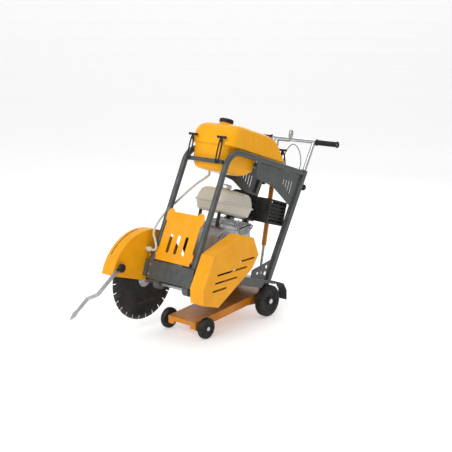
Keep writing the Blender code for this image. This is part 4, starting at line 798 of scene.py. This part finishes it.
piece("exhaustDrum", [(drum, True, True)], "main_frame", darkInside, sharp=30)
print("engine details made")

# water tap and bolts at the right end of the beam, and a black line of painted shade along the slot on the guard's rim
tapUp = [(0, 0.011), (0.004, 0.011), (0.005, 0.0075), (0.018, 0.0075), (0.019, 0.012), (0.030, 0.012),
         (0.033, 0.009), (0.036, 0.001)]
tap = lathe(toWorld([-0.160, -0.668, 0.1125]), up, tapUp, 28)
tapSide = lathe(toWorld([-0.160, -0.668, 0.1355]), front, [
    (0, 0.006), (0.016, 0.006), (0.017, 0.009), (0.026, 0.009), (0.027, 0.005), (0.027, 0.001)], 24)
piece("waterTap", [(tap, True, True), (tapSide, True, True)], "main_frame", brightBolt, sharp=30)
beamBolts = [(hexBolt(toWorld([x, -0.6885, z]), front, 0.0055), True, True) for x, z in ((-0.146, 0.088), (-0.146, 0.036))]
piece("beamBolts", beamBolts, "main_frame", brightBolt, sharp=30)
# painted shade: a thin black-painted tube runs along the slot on the guard's rim in place of an opening, standing for
# the shade inside it
arcAngles = np.radians(np.linspace(112, 158, 30))
rimSlotShadeLine = np.stack([0 * arcAngles - 0.243, -0.636 + 0.2752 * np.cos(arcAngles), 0.2752 * np.sin(arcAngles)], -1)
piece("guardRimSlotShade", [(toWorld(tube(rimSlotShadeLine, 0.0016, 8)), True, True)], "main_frame", finishes["black_paint"])
print("taps and bolts made")

# camera, lights and floor
lens = dict(mm=71.68, place=(3.127, -3.5505, 1.697), heading=40.2, fall=13.5)
camData = bpy.data.cameras.new("camera")
camData.lens = lens["mm"]
camData.sensor_width = 36
cam = bpy.data.objects.new("camera", camData)
bpy.context.scene.collection.objects.link(cam)
head, fall = math.radians(lens["heading"]), math.radians(lens["fall"])
look = Vector((-math.sin(head) * math.cos(fall), math.cos(head) * math.cos(fall), -math.sin(fall)))
cam.location = lens["place"]
cam.rotation_euler = look.to_track_quat("-Z", "Y").to_euler()
bpy.context.scene.camera = cam


def softLight(name, place, aim, size, power, colour=(1, 1, 1)):
    data = bpy.data.lights.new(name, "AREA")
    data.shape = "RECTANGLE"
    data.size, data.size_y = size
    data.energy = power
    data.color = colour
    light = bpy.data.objects.new(name, data)
    bpy.context.scene.collection.objects.link(light)
    light.location = place
    light.rotation_euler = (Vector(aim) - Vector(place)).to_track_quat("-Z", "Y").to_euler()
    return light


lights = dict(key=84, fill=14, back=34, above=34)
softLight("keyLight", (0.9, -3.6, 3.2), (0, 0, 0.4), (2.4, 2.4), lights["key"])
softLight("fillLight", (-3.0, -2.6, 1.8), (0, 0, 0.5), (2.6, 2.2), lights["fill"])
softLight("backLight", (-1.2, 3.4, 2.6), (0, 0, 0.6), (3.0, 1.6), lights["back"])
softLight("topLight", (0.2, 0.0, 4.2), (0, 0, 0), (3.2, 3.2), lights["above"])

# floor: a flat sheet that curves up far behind, one surface
floorSettings = dict(reach=9.0, bendRadius=2.5, rise=5.0)
across = np.linspace(-9, 9, 13)
run = np.linspace(-floorSettings["reach"], 6, 16)
bend = np.linspace(0, np.pi / 2, 17)[1:]
profileY = np.concatenate([run, 6 + floorSettings["bendRadius"] * np.sin(bend), [6 + floorSettings["bendRadius"]]])
profileZ = np.concatenate([0 * run, floorSettings["bendRadius"] * (1 - np.cos(bend)), [floorSettings["rise"] + 2.5]])
turnBack = math.radians(40.2)
gx, gy = across[None, :] + 0 * profileY[:, None], profileY[:, None] + 0 * across[None, :]
gz = profileZ[:, None] + 0 * across[None, :]
sheet = np.stack([gx * math.cos(turnBack) - gy * math.sin(turnBack), gx * math.sin(turnBack) + gy * math.cos(turnBack),
                  gz - 0.0005], -1)
floorMesh = gridMesh("studioFloor", [(sheet, False, False)])
floorObject = bpy.data.objects.new("studioFloor", floorMesh)
bpy.context.scene.collection.objects.link(floorObject)
floorMat = bpy.data.materials.new("studioFloor")
floorMat.use_nodes = True
floorShader = floorMat.node_tree.nodes["Principled BSDF"]
floorShader.inputs["Base Color"].default_value = (0.86, 0.86, 0.86, 1)
floorShader.inputs["Roughness"].default_value = 0.75
floorShader.inputs["Emission Color"].default_value = (1, 1, 1, 1)
floorShader.inputs["Emission Strength"].default_value = 0.36
floorMesh.materials.append(floorMat)

world = bpy.data.worlds.new("studio")
world.use_nodes = True
world.node_tree.nodes["Background"].inputs["Color"].default_value = (1, 1, 1, 1)
world.node_tree.nodes["Background"].inputs["Strength"].default_value = 0.50
bpy.context.scene.world = world
bpy.context.scene.view_settings.view_transform = "Standard"
print("camera, lights and floor set")
